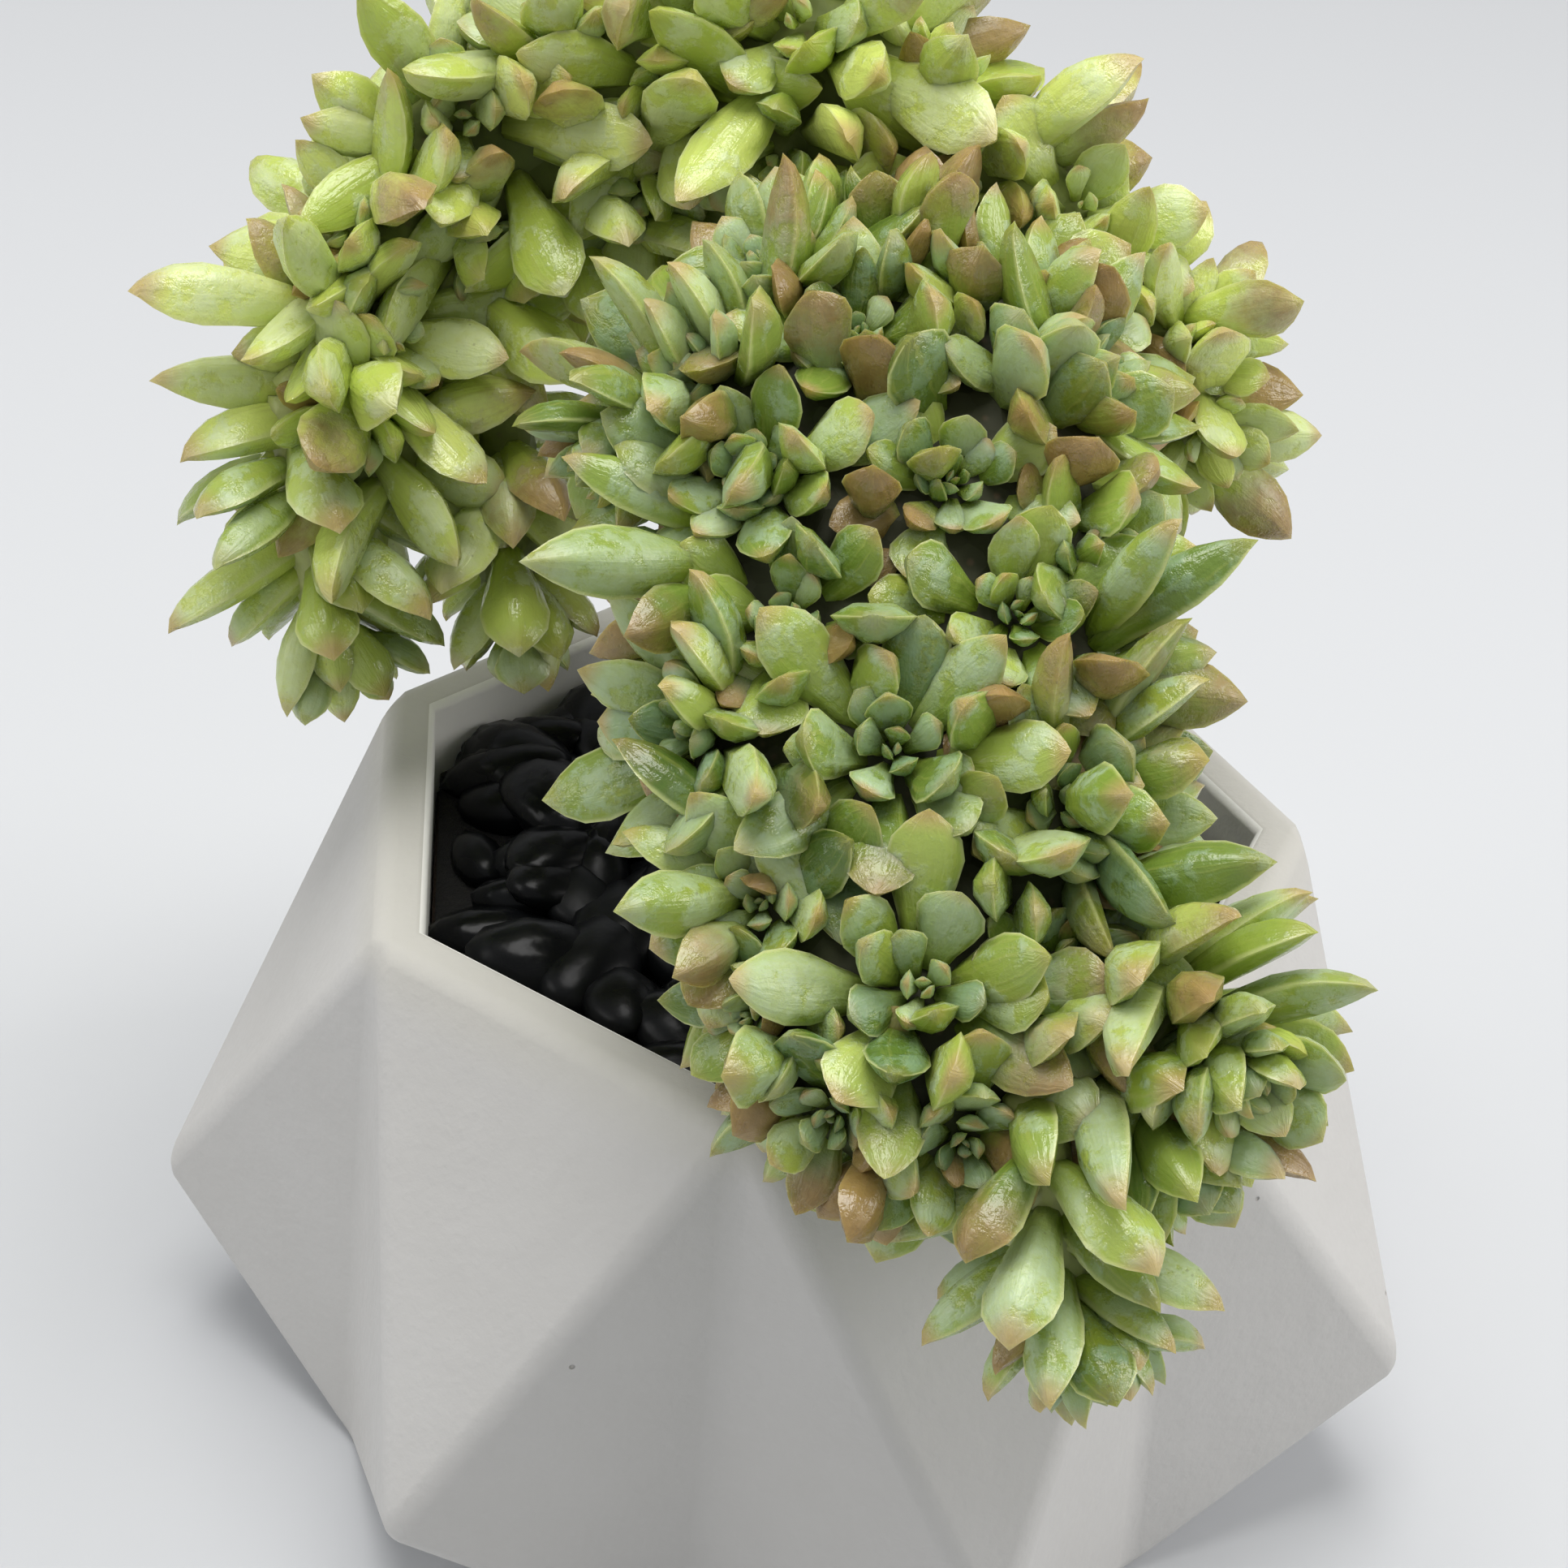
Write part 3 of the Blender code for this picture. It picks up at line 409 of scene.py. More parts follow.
class Stem:
    """A stretch of stem with an oval section, swept along a smooth curve through its spine points."""

    def __init__(self, rows, across, round_start=True, round_end=True):
        self.rows = np.array(rows, dtype=float)
        self.across = np.array(across, dtype=float)
        self.rounded = (round_start, round_end)

    def values(self, along):
        """Spine point, half width and half thickness, from a smooth curve through the rows."""
        last = len(self.rows) - 1
        place = min(max(along, 0.0), 1.0) * last
        k = min(int(place), last - 1)
        t = place - k
        p1 = self.rows[k]
        p2 = self.rows[k + 1]
        p0 = self.rows[k - 1] if k > 0 else 2 * p1 - p2
        p3 = self.rows[k + 2] if k + 2 <= last else 2 * p2 - p1
        return 0.5 * (
            2 * p1
            + (p2 - p0) * t
            + (2 * p0 - 5 * p1 + 4 * p2 - p3) * t * t
            + (3 * p1 - p0 - 3 * p2 + p3) * t * t * t
        )

    def spine(self, along):
        return self.values(along)[:3]

    def heading(self, along):
        return unit(self.spine(min(along + 0.01, 1.0)) - self.spine(max(along - 0.01, 0.0)))

    def taper(self, along):
        """1 in the middle, falling to 0 at a rounded end."""
        size = 1.0
        for end, is_round in zip((along, 1.0 - along), self.rounded):
            if is_round and end < ROUNDED:
                size *= sqrt(max(1.0 - (1.0 - end / ROUNDED) ** 2, 0.0))
        return size

    def skin(self, along, turn):
        """A point on the surface; a turn of 0 faces outward, 90 degrees lies to the across side."""
        row = self.values(along)
        heading = self.heading(along)
        side = square_to(heading, self.across)
        face = np.cross(heading, side)
        reach = row[3] * sin(turn) * side + row[4] * cos(turn) * face
        return row[:3] + self.taper(along) * reach

    def outward(self, along, turn):
        """The surface's outward direction."""
        step = 0.004
        low, high = max(along - step, 0.0), min(along + step, 1.0)
        lengthwise = self.skin(high, turn) - self.skin(low, turn)
        round_it = self.skin(along, turn + 0.02) - self.skin(along, turn - 0.02)
        direction = unit(np.cross(round_it, lengthwise))
        if direction @ (self.skin(along, turn) - self.spine(along)) < 0:
            direction = -direction
        return direction

    def spot(self, along, turn):
        """A place on the surface and its outward direction, with the turn in degrees."""
        return self.skin(along, radians(turn)), self.outward(along, radians(turn))

    def mesh(self, name, sides, stations):
        points = []
        for j in range(stations):
            along = 0.5 - 0.5 * cos(pi * (j + 0.5) / stations)
            if j == 0 and not self.rounded[0]:
                along = 0.0
            if j == stations - 1 and not self.rounded[1]:
                along = 1.0
            points += [self.skin(along, k * tau / sides) for k in range(sides)]
        faces = ring_faces(stations, sides)
        points += [self.spine(0.0), self.spine(1.0)]
        top = (stations - 1) * sides
        for k in range(sides):
            after = (k + 1) % sides
            faces.append((stations * sides, after, k))
            faces.append((stations * sides + 1, top + k, top + after))
        return outward_mesh(name, points, faces)

    def balls(self, count):
        """Balls that fill the stem, as middles and radii: what the leaves are pushed out of."""
        middles, radii = [], []
        for along in np.linspace(0.04, 0.96, count):
            row = self.values(along)
            heading = self.heading(along)
            side = square_to(heading, self.across)
            spare = max(row[3] - row[4], 0.0)
            for shift in (-1.0, 0.0, 1.0):
                middles.append(row[:3] + side * spare * shift)
                radii.append(row[4])
        return np.array(middles), np.array(radii)


def outward_mesh(name, points, faces, triangles=True):
    """A closed mesh whose faces point out."""
    shape = shape_of(mesh_from(name, points, faces))
    bmesh.ops.recalc_face_normals(shape, faces=shape.faces)
    if triangles:
        bmesh.ops.triangulate(shape, faces=shape.faces)
    if shape.calc_volume(signed=True) < 0:
        bmesh.ops.reverse_faces(shape, faces=shape.faces)
    return mesh_of(name, shape)


# Leaves


class Leaf:
    """One plump leaf: where it is rooted, the way it points, the way its upper face looks, its length."""

    def __init__(self, root, points_to, faces_to, length, draw):
        self.root = root
        self.points_to = unit(points_to)
        self.faces_to = faces_to
        self.length = length
        self.breadth = draw.uniform(0.88, 1.14)
        self.bend = LEAF_BEND * draw.uniform(0.2, 1.3)
        self.plump = 1.0
        self.young = False
        self.old = False


def falling(outside, fall, power, inner):
    """A value that falls from the outermost leaf, where inner is 0, to the innermost, where it is 1."""
    return outside - fall * inner**power


def round_axis(axis, angle):
    """The direction at right angles to an axis that lies at one angle round it."""
    side = unit(np.cross(axis, (0.31, 0.57, 0.76)))
    return side * cos(angle) + np.cross(axis, side) * sin(angle)


def leaned(axis, radial, lean):
    """A direction that leans from an axis towards a radial one."""
    return axis * cos(lean) + radial * sin(lean)


def sunk_root(tree, spot):
    """The place just under the stem's surface that lies nearest to a spot."""
    place, normal, _, _ = tree.find_nearest(Vector(spot))
    return np.array(place - normal * ROOT_SINK)


def rosette_leaves(stem, tree, along, turn, length, count, draw):
    """Leaves set round one growing point by the golden angle, long and spread outside, short inside."""
    middle, axis = stem.spot(along, turn)
    spin = draw.uniform(0.0, tau)
    leaves = []
    for k in range(count):
        inner = k / (count - 1)
        radial = round_axis(axis, spin + k * GOLDEN_ANGLE)
        lean = radians(falling(*ROSETTE_LEAN, inner)) + draw.uniform(-0.1, 0.1)
        size = length * falling(*ROSETTE_SIZE, inner) * draw.uniform(0.88, 1.1)
        ring = ROSETTE_RING * length * (1.0 - 0.6 * inner)
        root = sunk_root(tree, middle + radial * ring)
        leaves.append(Leaf(root, leaned(axis, radial, lean), axis, size, draw))
    return leaves


def shoot_leaves(stem, length, count, draw):
    """Leaves up a trailing shoot, spread along it and closing to a rosette at its tip."""
    spin = draw.uniform(0.0, tau)
    leaves = []
    for k in range(count):
        inner = k / (count - 1)
        along = SHOOT_SPREAD[0] + SHOOT_SPREAD[1] * inner
        axis = stem.heading(along)
        radial = round_axis(axis, spin + k * GOLDEN_ANGLE)
        lean = radians(falling(*SHOOT_LEAN, inner)) + draw.uniform(-0.1, 0.1)
        size = length * falling(*SHOOT_SIZE, inner) * draw.uniform(0.88, 1.08)
        root = stem.spine(along) + radial * 0.8
        leaves.append(Leaf(root, leaned(axis, radial, lean), axis, size, draw))
    return leaves


def spots_on(stem, taken, spacing, draw):
    """Free places on a stem, one spacing or more from those taken and from each other.

    Places that face different ways count as further apart, so both faces of a thin crest fill up.
    """
    held = [stem.spot(along, turn) for along, turn, _ in taken]
    found = []
    for along in np.linspace(0.04, 0.96, SPOT_PLACES[0]):
        for turn in range(0, 360, SPOT_PLACES[1]):
            a = min(max(along + draw.uniform(-SPOT_STRAY[0], SPOT_STRAY[0]), 0.03), 0.97)
            t = turn + draw.uniform(-SPOT_STRAY[1], SPOT_STRAY[1])
            spot, axis = stem.spot(a, t)
            if all(
                np.linalg.norm(spot - other) + FACING_SPACE * (1.0 - axis @ way) > spacing
                for other, way in held
            ):
                held.append((spot, axis))
                found.append((a, t))
    return found


def stem_leaves(stem, tree, rosettes, spacing, draw, bare):
    """A crested stem's leaves: listed rosettes, rosettes by rule elsewhere, fillers between."""
    leaves = []
    places = []
    for along, turn, length, count in rosettes:
        leaves += rosette_leaves(stem, tree, along, turn, length, count, draw)
        places.append((along, turn, length))
    for along, turn in spots_on(stem, places, spacing[0], draw):
        if bare(stem.spot(along, turn)[0]):
            continue
        length = draw.uniform(*HIDDEN_LENGTHS)
        leaves += rosette_leaves(stem, tree, along, turn, length, HIDDEN_LEAVES, draw)
        places.append((along, turn, length))
    for along, turn in spots_on(stem, places, spacing[1], draw):
        spot, axis = stem.spot(along, turn)
        if bare(spot):
            continue
        sway = unit(np.cross(axis, [draw.uniform(-1.0, 1.0) for _ in range(3)]))
        length = draw.uniform(*FILLER_LENGTHS)
        points_to = axis + sway * draw.uniform(0.5, 2.0)
        leaves.append(Leaf(sunk_root(tree, spot), points_to, axis, length, draw))
    return leaves, places


def pot_push(points, radii):
    """How far each point must move to lie clear of the pot's outside, its rim and the stones."""
    push = np.zeros_like(points)
    plan = np.hypot(points[:, 0], points[:, 1])
    outward = points[:, :2] / plan[:, None]
    slope = (POINT_RADIUS - RIM_RADIUS) / (POT_HEIGHT - POINT_HEIGHT)
    wall = RIM_RADIUS + np.maximum(POT_HEIGHT - points[:, 2], 0.0) * slope
    up = POT_HEIGHT + radii + RIM_GAP - points[:, 2]
    out = wall + radii + RIM_GAP - plan
    over_rim = (plan > STONES_REACH) & (up > 0) & (out > 0)
    goes_up = over_rim & ((up < out) | (plan < RIM_REACH))
    goes_out = over_rim & ~goes_up
    push[goes_up, 2] = up[goes_up]
    push[goes_out, :2] = outward[goes_out] * out[goes_out, None]
    low = (plan <= STONES_REACH) & (points[:, 2] < LEAST_HEIGHT + radii)
    push[low, 2] = (LEAST_HEIGHT + radii - points[:, 2])[low]
    return push


def tree_of(mesh):
    points = [vertex.co.copy() for vertex in mesh.vertices]
    return BVHTree.FromPolygons(points, [tuple(face.vertices) for face in mesh.polygons])


def band_is_bare(spot):
    """Where the band's trunk meets its underside, no leaf grows."""
    under = spot @ np.array((0.0, -0.62, 0.78)) < 143.0
    return under and abs(spot[0] - 9.0) < 11.0 and spot[1] > -72.0


def ridge_is_bare(spot):
    """Where the ridge's trunk meets its underside, no leaf grows."""
    return spot[2] < 178.0 and abs(spot[0] + 12.0) < 18.0


def trunk(hole, rows):
    """A trunk that stands upright in its hole and then follows its rows."""
    heights = (HOLE_FLOOR + CLEAR, 64.0, 82.0, 98.0)
    foot = [(*hole, height, STEM_FOOT_RADIUS, STEM_FOOT_RADIUS) for height in heights]
    return Stem(foot + rows, (1, 0, 0), round_start=False)


def seated_shoot(carrier, tree, along, turn, radius, rows):
    """A shoot whose flat foot stands just off the carrier's skin, with its first stretch square to it."""
    spot, axis = carrier.spot(along, turn)
    above = spot + axis * 20.0
    place, normal, _, _ = tree.ray_cast(Vector(above), Vector(-axis))
    place, normal = np.array(place), np.array(normal)
    foot = [(*(place + normal * rise), radius, radius) for rise in (CLEAR, CLEAR + 4.0)]
    return Stem(foot + rows, (0.2, 0.3, 0.93), round_start=False)


def pack_leaves(leaves, stems, free):
    """Turns the free leaves about their roots until all lie beside each other, outside stems and pot."""
    roots = np.array([leaf.root for leaf in leaves])
    start = np.array([leaf.points_to for leaf in leaves])
    lengths = np.array([leaf.length for leaf in leaves])
    places = np.array(PACK_PLACES)
    radii = lengths[:, None] * np.array(PACK_RADII)
    filled = [stem.balls(STEM_BALLS) for stem in stems]
    ball_middles = np.concatenate([middles for middles, _ in filled])
    ball_radii = np.concatenate([sizes for _, sizes in filled])
    apart = np.linalg.norm(roots[:, None] - roots[None], axis=2)
    span = lengths * (PACK_PLACES[-1] + PACK_RADII[-1] + 0.1)
    first, second = np.nonzero(np.triu(apart < span[:, None] + span[None], 1))
    meets = free[first] | free[second]
    first, second = first[meets], second[meets]
    way = start.copy()
    reach = lengths[:, None] * places
    for _ in range(PACK_ROUNDS):
        points = roots[:, None] + way[:, None] * reach[:, :, None]
        between = points[first][:, :, None] - points[second][:, None]
        distance = np.linalg.norm(between, axis=3) + 1e-9
        sizes = radii[first][:, :, None] + radii[second][:, None]
        overlap = np.maximum(sizes - distance, 0.0)
        shove = between * (overlap / distance)[..., None] * 0.5
        push = np.zeros_like(points)
        np.add.at(push, first, shove.sum(axis=2))
        np.add.at(push, second, -shove.sum(axis=1))
        flat = points.reshape(-1, 3)
        flat_radii = radii.ravel()
        between = flat[:, None] - ball_middles[None]
        distance = np.linalg.norm(between, axis=2) + 1e-9
        overlap = np.maximum(flat_radii[:, None] * STEM_SHARE + ball_radii[None] - distance, 0.0)
        overlap[reach.ravel() < ROOT_LENGTH] = 0.0
        deepest = overlap.argmax(axis=1)
        index = np.arange(len(flat))
        away = between[index, deepest] * (overlap / distance)[index, deepest][:, None]
        away += pot_push(flat, flat_radii)
        push += away.reshape(push.shape)
        turn = (push * places[None, :, None]).sum(axis=1)
        moved = way + PACK_TURN * turn / lengths[:, None] + PACK_RETURN * (start - way)
        moved /= np.linalg.norm(moved, axis=1)[:, None]
        way = np.where(free[:, None], moved, way)
    for leaf, direction in zip(leaves, way):
        leaf.points_to = direction


def bud_leaves(base, axis, length, count, draw):
    """The small plump leaves that close a rosette's middle, on a short growing tip."""
    spin = draw.uniform(0.0, tau)
    leaves = []
    for k in range(count):
        inner = k / (count - 1)
        radial = round_axis(axis, spin + k * GOLDEN_ANGLE)
        lean = radians(falling(*BUD_LEAN, inner))
        size = length * falling(*BUD_SIZE, inner) * draw.uniform(0.88, 1.1)
        root = base + axis * (1.2 + length * 0.1 * inner) + radial * length * 0.13 * (1.0 - inner)
        leaf = Leaf(root, leaned(axis, radial, lean), axis, size, draw)
        leaf.breadth *= 1.22
        leaf.plump = 1.3
        leaf.young = True
        leaves.append(leaf)
    return leaves


def ring_leaves(tree, base, axis, length, count, ring, draw):
    """Leaves spread in one ring round a growing point."""
    leans, away, sizes = ring
    spin = draw.uniform(0.0, tau)
    leaves = []
    for k in range(count):
        radial = round_axis(axis, spin + k * tau / count + draw.uniform(-0.4, 0.4))
        lean = radians(draw.uniform(*leans))
        root = sunk_root(tree, base + radial * length * away)
        size = length * draw.uniform(*sizes)
        leaves.append(Leaf(root, leaned(axis, radial, lean), axis, size, draw))
    return leaves


def body_points(leaf):
    """Points inside a leaf, from its lower part to its tip."""
    return [leaf.root + leaf.points_to * leaf.length * part for part in (0.35, 0.6, 0.85)]


def fill_leaves(stem, tree, held, sizes, draw, bare):
    """Single leaves that stand up wherever there is still room between the others."""
    shortest, longest, room = sizes
    filled = np.array([point for leaf in held for point in body_points(leaf)])
    leaves = []
    for along in np.linspace(0.01, 0.99, FINE_PLACES[0]):
        for turn in np.linspace(0.0, 360.0, FINE_PLACES[1], endpoint=False):
            a = min(max(along + draw.uniform(-FINE_STRAY[0], FINE_STRAY[0]), 0.01), 0.99)
            spot, axis = stem.spot(a, turn + draw.uniform(-FINE_STRAY[1], FINE_STRAY[1]))
            middle = spot + axis * FILL_HEIGHT
            if bare(spot) or np.linalg.norm(filled - middle, axis=1).min() < room:
                continue
            sway = unit(np.cross(axis, draw.uniform(-1.0, 1.0, 3)))
            way = axis + sway * draw.uniform(*FILL_SWAY)
            length = draw.uniform(shortest, longest)
            leaf = Leaf(sunk_root(tree, spot), way, axis - sway, length, draw)
            leaf.breadth *= FILL_PLUMPNESS
            leaf.plump = FILL_PLUMPNESS
            leaf.old = draw.uniform() < FILL_OLD_SHARE
            leaves.append(leaf)
            filled = np.vstack([filled, body_points(leaf)])
    return leaves


def extra_leaves(stems, trees, groups, places, branches):
    """The small leaves of each rosette, those that fill gaps, and those at the tips of shoots."""
    draw = np.random.default_rng(EXTRA_SEED)
    extras = {}
    for name, bare in (("crest_band", band_is_bare), ("crest_ridge", ridge_is_bare)):
        stem, tree = stems[name][0], trees[name]
        bud, middle, under = EXTRA_LEAVES[name]
        added = []
        for along, turn, length in places[name]:
            spot, axis = stem.spot(along, turn)
            base = sunk_root(tree, spot)
            added += bud_leaves(base, axis, length, bud, draw)
            added += ring_leaves(tree, base, axis, length, middle, MIDDLE_RING, draw)
            below = ring_leaves(tree, base, axis, length, under, UNDER_RING, draw)
            for leaf in below:
                leaf.old = True
            added += below
        added += fill_leaves(stem, tree, groups[name] + added, FILLS[name], draw, bare)
        extras[name] = added
    tips = [(name, branch, length) for (name, _, length, _), branch in zip(BRANCHES, branches)]
    tips += [(name, stems[name][0], SHOOTS[name][4]) for name in SHOOTS]
    for name, stem, length in tips:
        base, axis = stem.spine(0.97), stem.heading(0.97)
        added = bud_leaves(base, axis, length, SHOOT_BUD_LEAVES, draw)
        added += shoot_leaves(stem, length * SHOOT_MORE_LENGTH, SHOOT_MORE_LEAVES, draw)
        extras[name] = extras.get(name, []) + added
    return extras


def lay_out_plant():
    """Stems and leaves by the same rules and seeds as the solids, with the finer leaves added."""
    draw = np.random.default_rng(SEED)
    stems = {
        "crest_ridge": [Stem(RIDGE, (0, 0, 1)), trunk(STEM_HOLES[0], RIDGE_TRUNK)],
        "crest_band": [Stem(BAND, (1, 0, 0)), trunk(STEM_HOLES[1], BAND_TRUNK)],
    }
    branches = [Stem(rows, (0, 1, 0)) for _, rows, _, _ in BRANCHES]
    for (name, *_), branch in zip(BRANCHES, branches):
        stems[name].append(branch)
    trees = {name: tree_of(held[0].mesh(name, *THICK_DETAIL)) for name, held in stems.items()}
    groups = {}
    for name, (on, along, turn, radius, length, rows) in SHOOTS.items():
        shoot = seated_shoot(stems[on][0], trees[on], along, turn, radius, rows)
        stems[name] = [shoot]
        trees[name] = tree_of(shoot.mesh(name, *THIN_DETAIL))
        groups[name] = shoot_leaves(shoot, length, SHOOT_LEAVES, draw)
    places = {}
    for name, rosettes, spacing, bare in (
        ("crest_band", BAND_ROSETTES, BAND_SPACING, band_is_bare),
        ("crest_ridge", RIDGE_ROSETTES, RIDGE_SPACING, ridge_is_bare),
    ):
        groups[name], places[name] = stem_leaves(
            stems[name][0], trees[name], rosettes, spacing, draw, bare
        )
    for (name, _, length, count), branch in zip(BRANCHES, branches):
        groups[name] += shoot_leaves(branch, length, count, draw)
    every_stem = [stem for held in stems.values() for stem in held]
    main = [leaf for leaves in groups.values() for leaf in leaves]
    pack_leaves(main, every_stem, np.ones(len(main), bool))

    extras = extra_leaves(stems, trees, groups, places, branches)
    added = [leaf for leaves in extras.values() for leaf in leaves]
    free = np.array([False] * len(main) + [True] * len(added))
    pack_leaves(main + added, every_stem, free)
    for name, leaves in extras.items():
        groups[name] = groups[name] + leaves
    return stems, groups


# Fine leaf forms, set out by a node tree


def leaf_form(name, bend, sections):
    """A unit leaf along +Y with its face up: plump, crisp along its margins, keeled to a pointed tip."""
    points, marks = [], []
    for place, width, thick in sections:
        for (foot_x, foot_z), (tip_x, tip_z) in zip(FOOT_RING, TIP_RING):
            across = foot_x + (tip_x - foot_x) * place
            over = foot_z + (tip_z - foot_z) * place
            lift = bend * place**2
            points.append(
                (across * width * LEAF_HALF_WIDTH, place, over * thick * FINE_THICKNESS + lift)
            )
            marks.append((0.5 + 0.5 * across, place))
    points.append((0.0, 1.0, bend + TIP_RISE))
    marks.append((0.5, 1.0))
    count = len(FOOT_RING)
    faces = [tuple(range(count))] + ring_faces(len(sections), count)
    tip = len(points) - 1
    for k in range(count):
        faces.append((tip - count + k, tip, tip - count + (k + 1) % count))
    mesh = outward_mesh(name, points, faces, triangles=False)
    mesh.polygons.foreach_set("use_smooth", [True] * len(mesh.polygons))
    where = mesh.uv_layers.new(name="leaf_map")
    for loop in mesh.loops:
        where.data[loop.index].uv = marks[loop.vertex_index]
    crisp = mesh.attributes.new("sharp_edge", "BOOLEAN", "EDGE")
    for edge in mesh.edges:
        low, high = sorted(edge.vertices)
        on_margin = low % count in MARGINS and (high % count in MARGINS or high == tip)
        lengthwise = high - low >= count or high == tip
        crisp.data[edge.index].value = on_margin and lengthwise and high > 2 * count
    return bpy.data.objects.new(name, mesh)


def leaf_forms():
    """A collection of leaf forms: an oval and a wedge for each bend."""
    forms = bpy.data.collections.new("leaf_forms")
    for bend in FORM_BENDS:
        for sections in (OVAL_SECTIONS, WEDGE_SECTIONS):
            forms.objects.link(leaf_form(f"leaf_form_{len(forms.objects)}", bend, sections))
    return forms


def feed(tree, given, target):
    """Links a node's output to a socket, or sets the socket to a plain value."""
    if isinstance(given, bpy.types.NodeSocket):
        tree.links.new(given, target)
    elif isinstance(given, tuple) and len(target.default_value) == 4:
        target.default_value = (*given, 1.0)
    else:
        target.default_value = given


def add_node(tree, kind, inputs, **settings):
    """A new node with its settings and inputs; gives its outputs."""
    node = tree.nodes.new(kind)
    for key, value in settings.items():
        setattr(node, key, value)
    for key, given in inputs.items():
        feed(tree, given, node.inputs[key])
    return node.outputs


def setting_tree():
    """Sets a form on each point by its attributes, wobbles its size, and makes it real."""
    tree = bpy.data.node_groups.new("set_forms_on_points", "GeometryNodeTree")
    ids = {}
    for name, kind in (
        ("Places", "Geometry"), ("Forms", "Collection"), ("Size wobble", "Float"),
        ("Seed", "Int"), ("Finish", "Material"),
    ):
        socket = tree.interface.new_socket(name=name, in_out="INPUT", socket_type="NodeSocket" + kind)
        ids[name] = socket.identifier
    tree.interface.new_socket(name="Result", in_out="OUTPUT", socket_type="NodeSocketGeometry")
    given = tree.nodes.new("NodeGroupInput").outputs

    def add(kind, inputs, **settings):
        return add_node(tree, kind, inputs, **settings)

    def mark(name, kind):
        return add("GeometryNodeInputNamedAttribute", {"Name": name}, data_type=kind)["Attribute"]

    forms = add("GeometryNodeCollectionInfo", {
        "Collection": given["Forms"], "Separate Children": True, "Reset Children": True,
    })[0]
    less = add("ShaderNodeMath", {0: 1.0, 1: given["Size wobble"]}, operation="SUBTRACT")[0]
    more = add("ShaderNodeMath", {0: 1.0, 1: given["Size wobble"]})[0]
    wobble = add("FunctionNodeRandomValue", {
        "Min": less, "Max": more, "Seed": given["Seed"],
    }, data_type="FLOAT_VECTOR")["Value"]
    size = add("ShaderNodeVectorMath", {
        0: mark("form_size", "FLOAT_VECTOR"), 1: wobble,
    }, operation="MULTIPLY")[0]
    placed = add("GeometryNodeInstanceOnPoints", {
        "Points": given["Places"], "Instance": forms, "Pick Instance": True,
        "Instance Index": mark("form_index", "INT"),
        "Rotation": mark("form_turn", "QUATERNION"), "Scale": size,
    })[0]
    real = add("GeometryNodeRealizeInstances", {0: placed})[0]
    finish = add("GeometryNodeSetMaterial", {"Geometry": real, "Material": given["Finish"]})[0]
    add("NodeGroupOutput", {0: finish})
    return tree, ids


def set_out(name, tree_ids, forms, rows, marks, material, wobble):
    """A plain mesh of forms set on rows of (place, basis, size, form), with marks for the material."""
    tree, ids = tree_ids
    points = mesh_from(name + "_places", [np.array(row[0]) * MM for row in rows], [])
    turns = [Matrix(np.array(row[1]).T.tolist()).to_quaternion() for row in rows]
    for mark, kind, key, values in (
        ("form_turn", "QUATERNION", "value", [part for turn in turns for part in turn]),
        ("form_size", "FLOAT_VECTOR", "vector", [part * MM for row in rows for part in row[2]]),
        ("form_index", "INT", "value", [row[3] for row in rows]),
        *((mark, "FLOAT", "value", values) for mark, values in marks.items()),
    ):
        points.attributes.new(mark, kind, "POINT").data.foreach_set(key, values)
    holder = new_object(name + "_places", points)
    setting = holder.modifiers.new("set out", "NODES")
    setting.node_group = tree
    setting[ids["Forms"]] = forms
    setting[ids["Size wobble"]] = wobble
    setting[ids["Seed"]] = len(name)
    setting[ids["Finish"]] = material
    graph = bpy.context.evaluated_depsgraph_get()
    mesh = bpy.data.meshes.new_from_object(holder.evaluated_get(graph))
    bpy.data.objects.remove(holder)
    for extra in ("form_turn", "form_size", "form_index"):
        if extra in mesh.attributes:
            mesh.attributes.remove(mesh.attributes[extra])
    if not mesh.materials:
        mesh.materials.append(material)
    return new_object(name, mesh)


def leaf_row(leaf):
    """Place, basis, size and form of one leaf."""
    forward = leaf.points_to
    up = leaf.faces_to - forward * (leaf.faces_to @ forward)
    if np.linalg.norm(up) < 0.05:
        up = np.cross(forward, (0.6, 0.0, 0.8))
    up = unit(up)
    side = np.cross(forward, up)
    bend = int(np.argmin([abs(bend - leaf.bend) for bend in FORM_BENDS]))
    form = bend * 2 + int(leaf.breadth > BROAD_LEAF)
    narrow = min(FULL_WIDTH_LENGTH / leaf.length, 1.0) ** NARROWING
    size = (leaf.length * leaf.breadth * narrow, leaf.length, leaf.length * leaf.plump * narrow**0.5)
    return leaf.root, (side, forward, up), size, form


def make_leaves(name, groups, tree_ids, forms, material):
    draw = np.random.default_rng(EXTRA_SEED + len(name))
    leaves = groups[name]
    low, high = WARMTH_AND_PAINTED_LIGHT[name]
    marks = {"leaf_tint": [], "leaf_age": [], "leaf_warmth_and_painted_light": [], "leaf_wax": []}
    for leaf in leaves:
        dry = draw.uniform() < (OLD_TAN_SHARE if leaf.old else TAN_SHARE) and not leaf.young
        marks["leaf_tint"].append(draw.uniform(0.0, 1.0))
        oldest = 1.0 if leaf.length < TAN_LENGTH else 0.6
        marks["leaf_age"].append(draw.uniform(0.4, oldest) if dry else draw.uniform(0.0, 0.3))
        marks["leaf_warmth_and_painted_light"].append(draw.uniform(low, high) * (0.6 if leaf.young else 1.0))
        marks["leaf_wax"].append(draw.uniform(0.6, 1.0) if leaf.young else draw.uniform(0.0, 0.75))
    rows = [leaf_row(leaf) for leaf in leaves]
    return set_out(name + "_leaves", tree_ids, forms, rows, marks, material, LEAF_WOBBLE)


# Stem skins


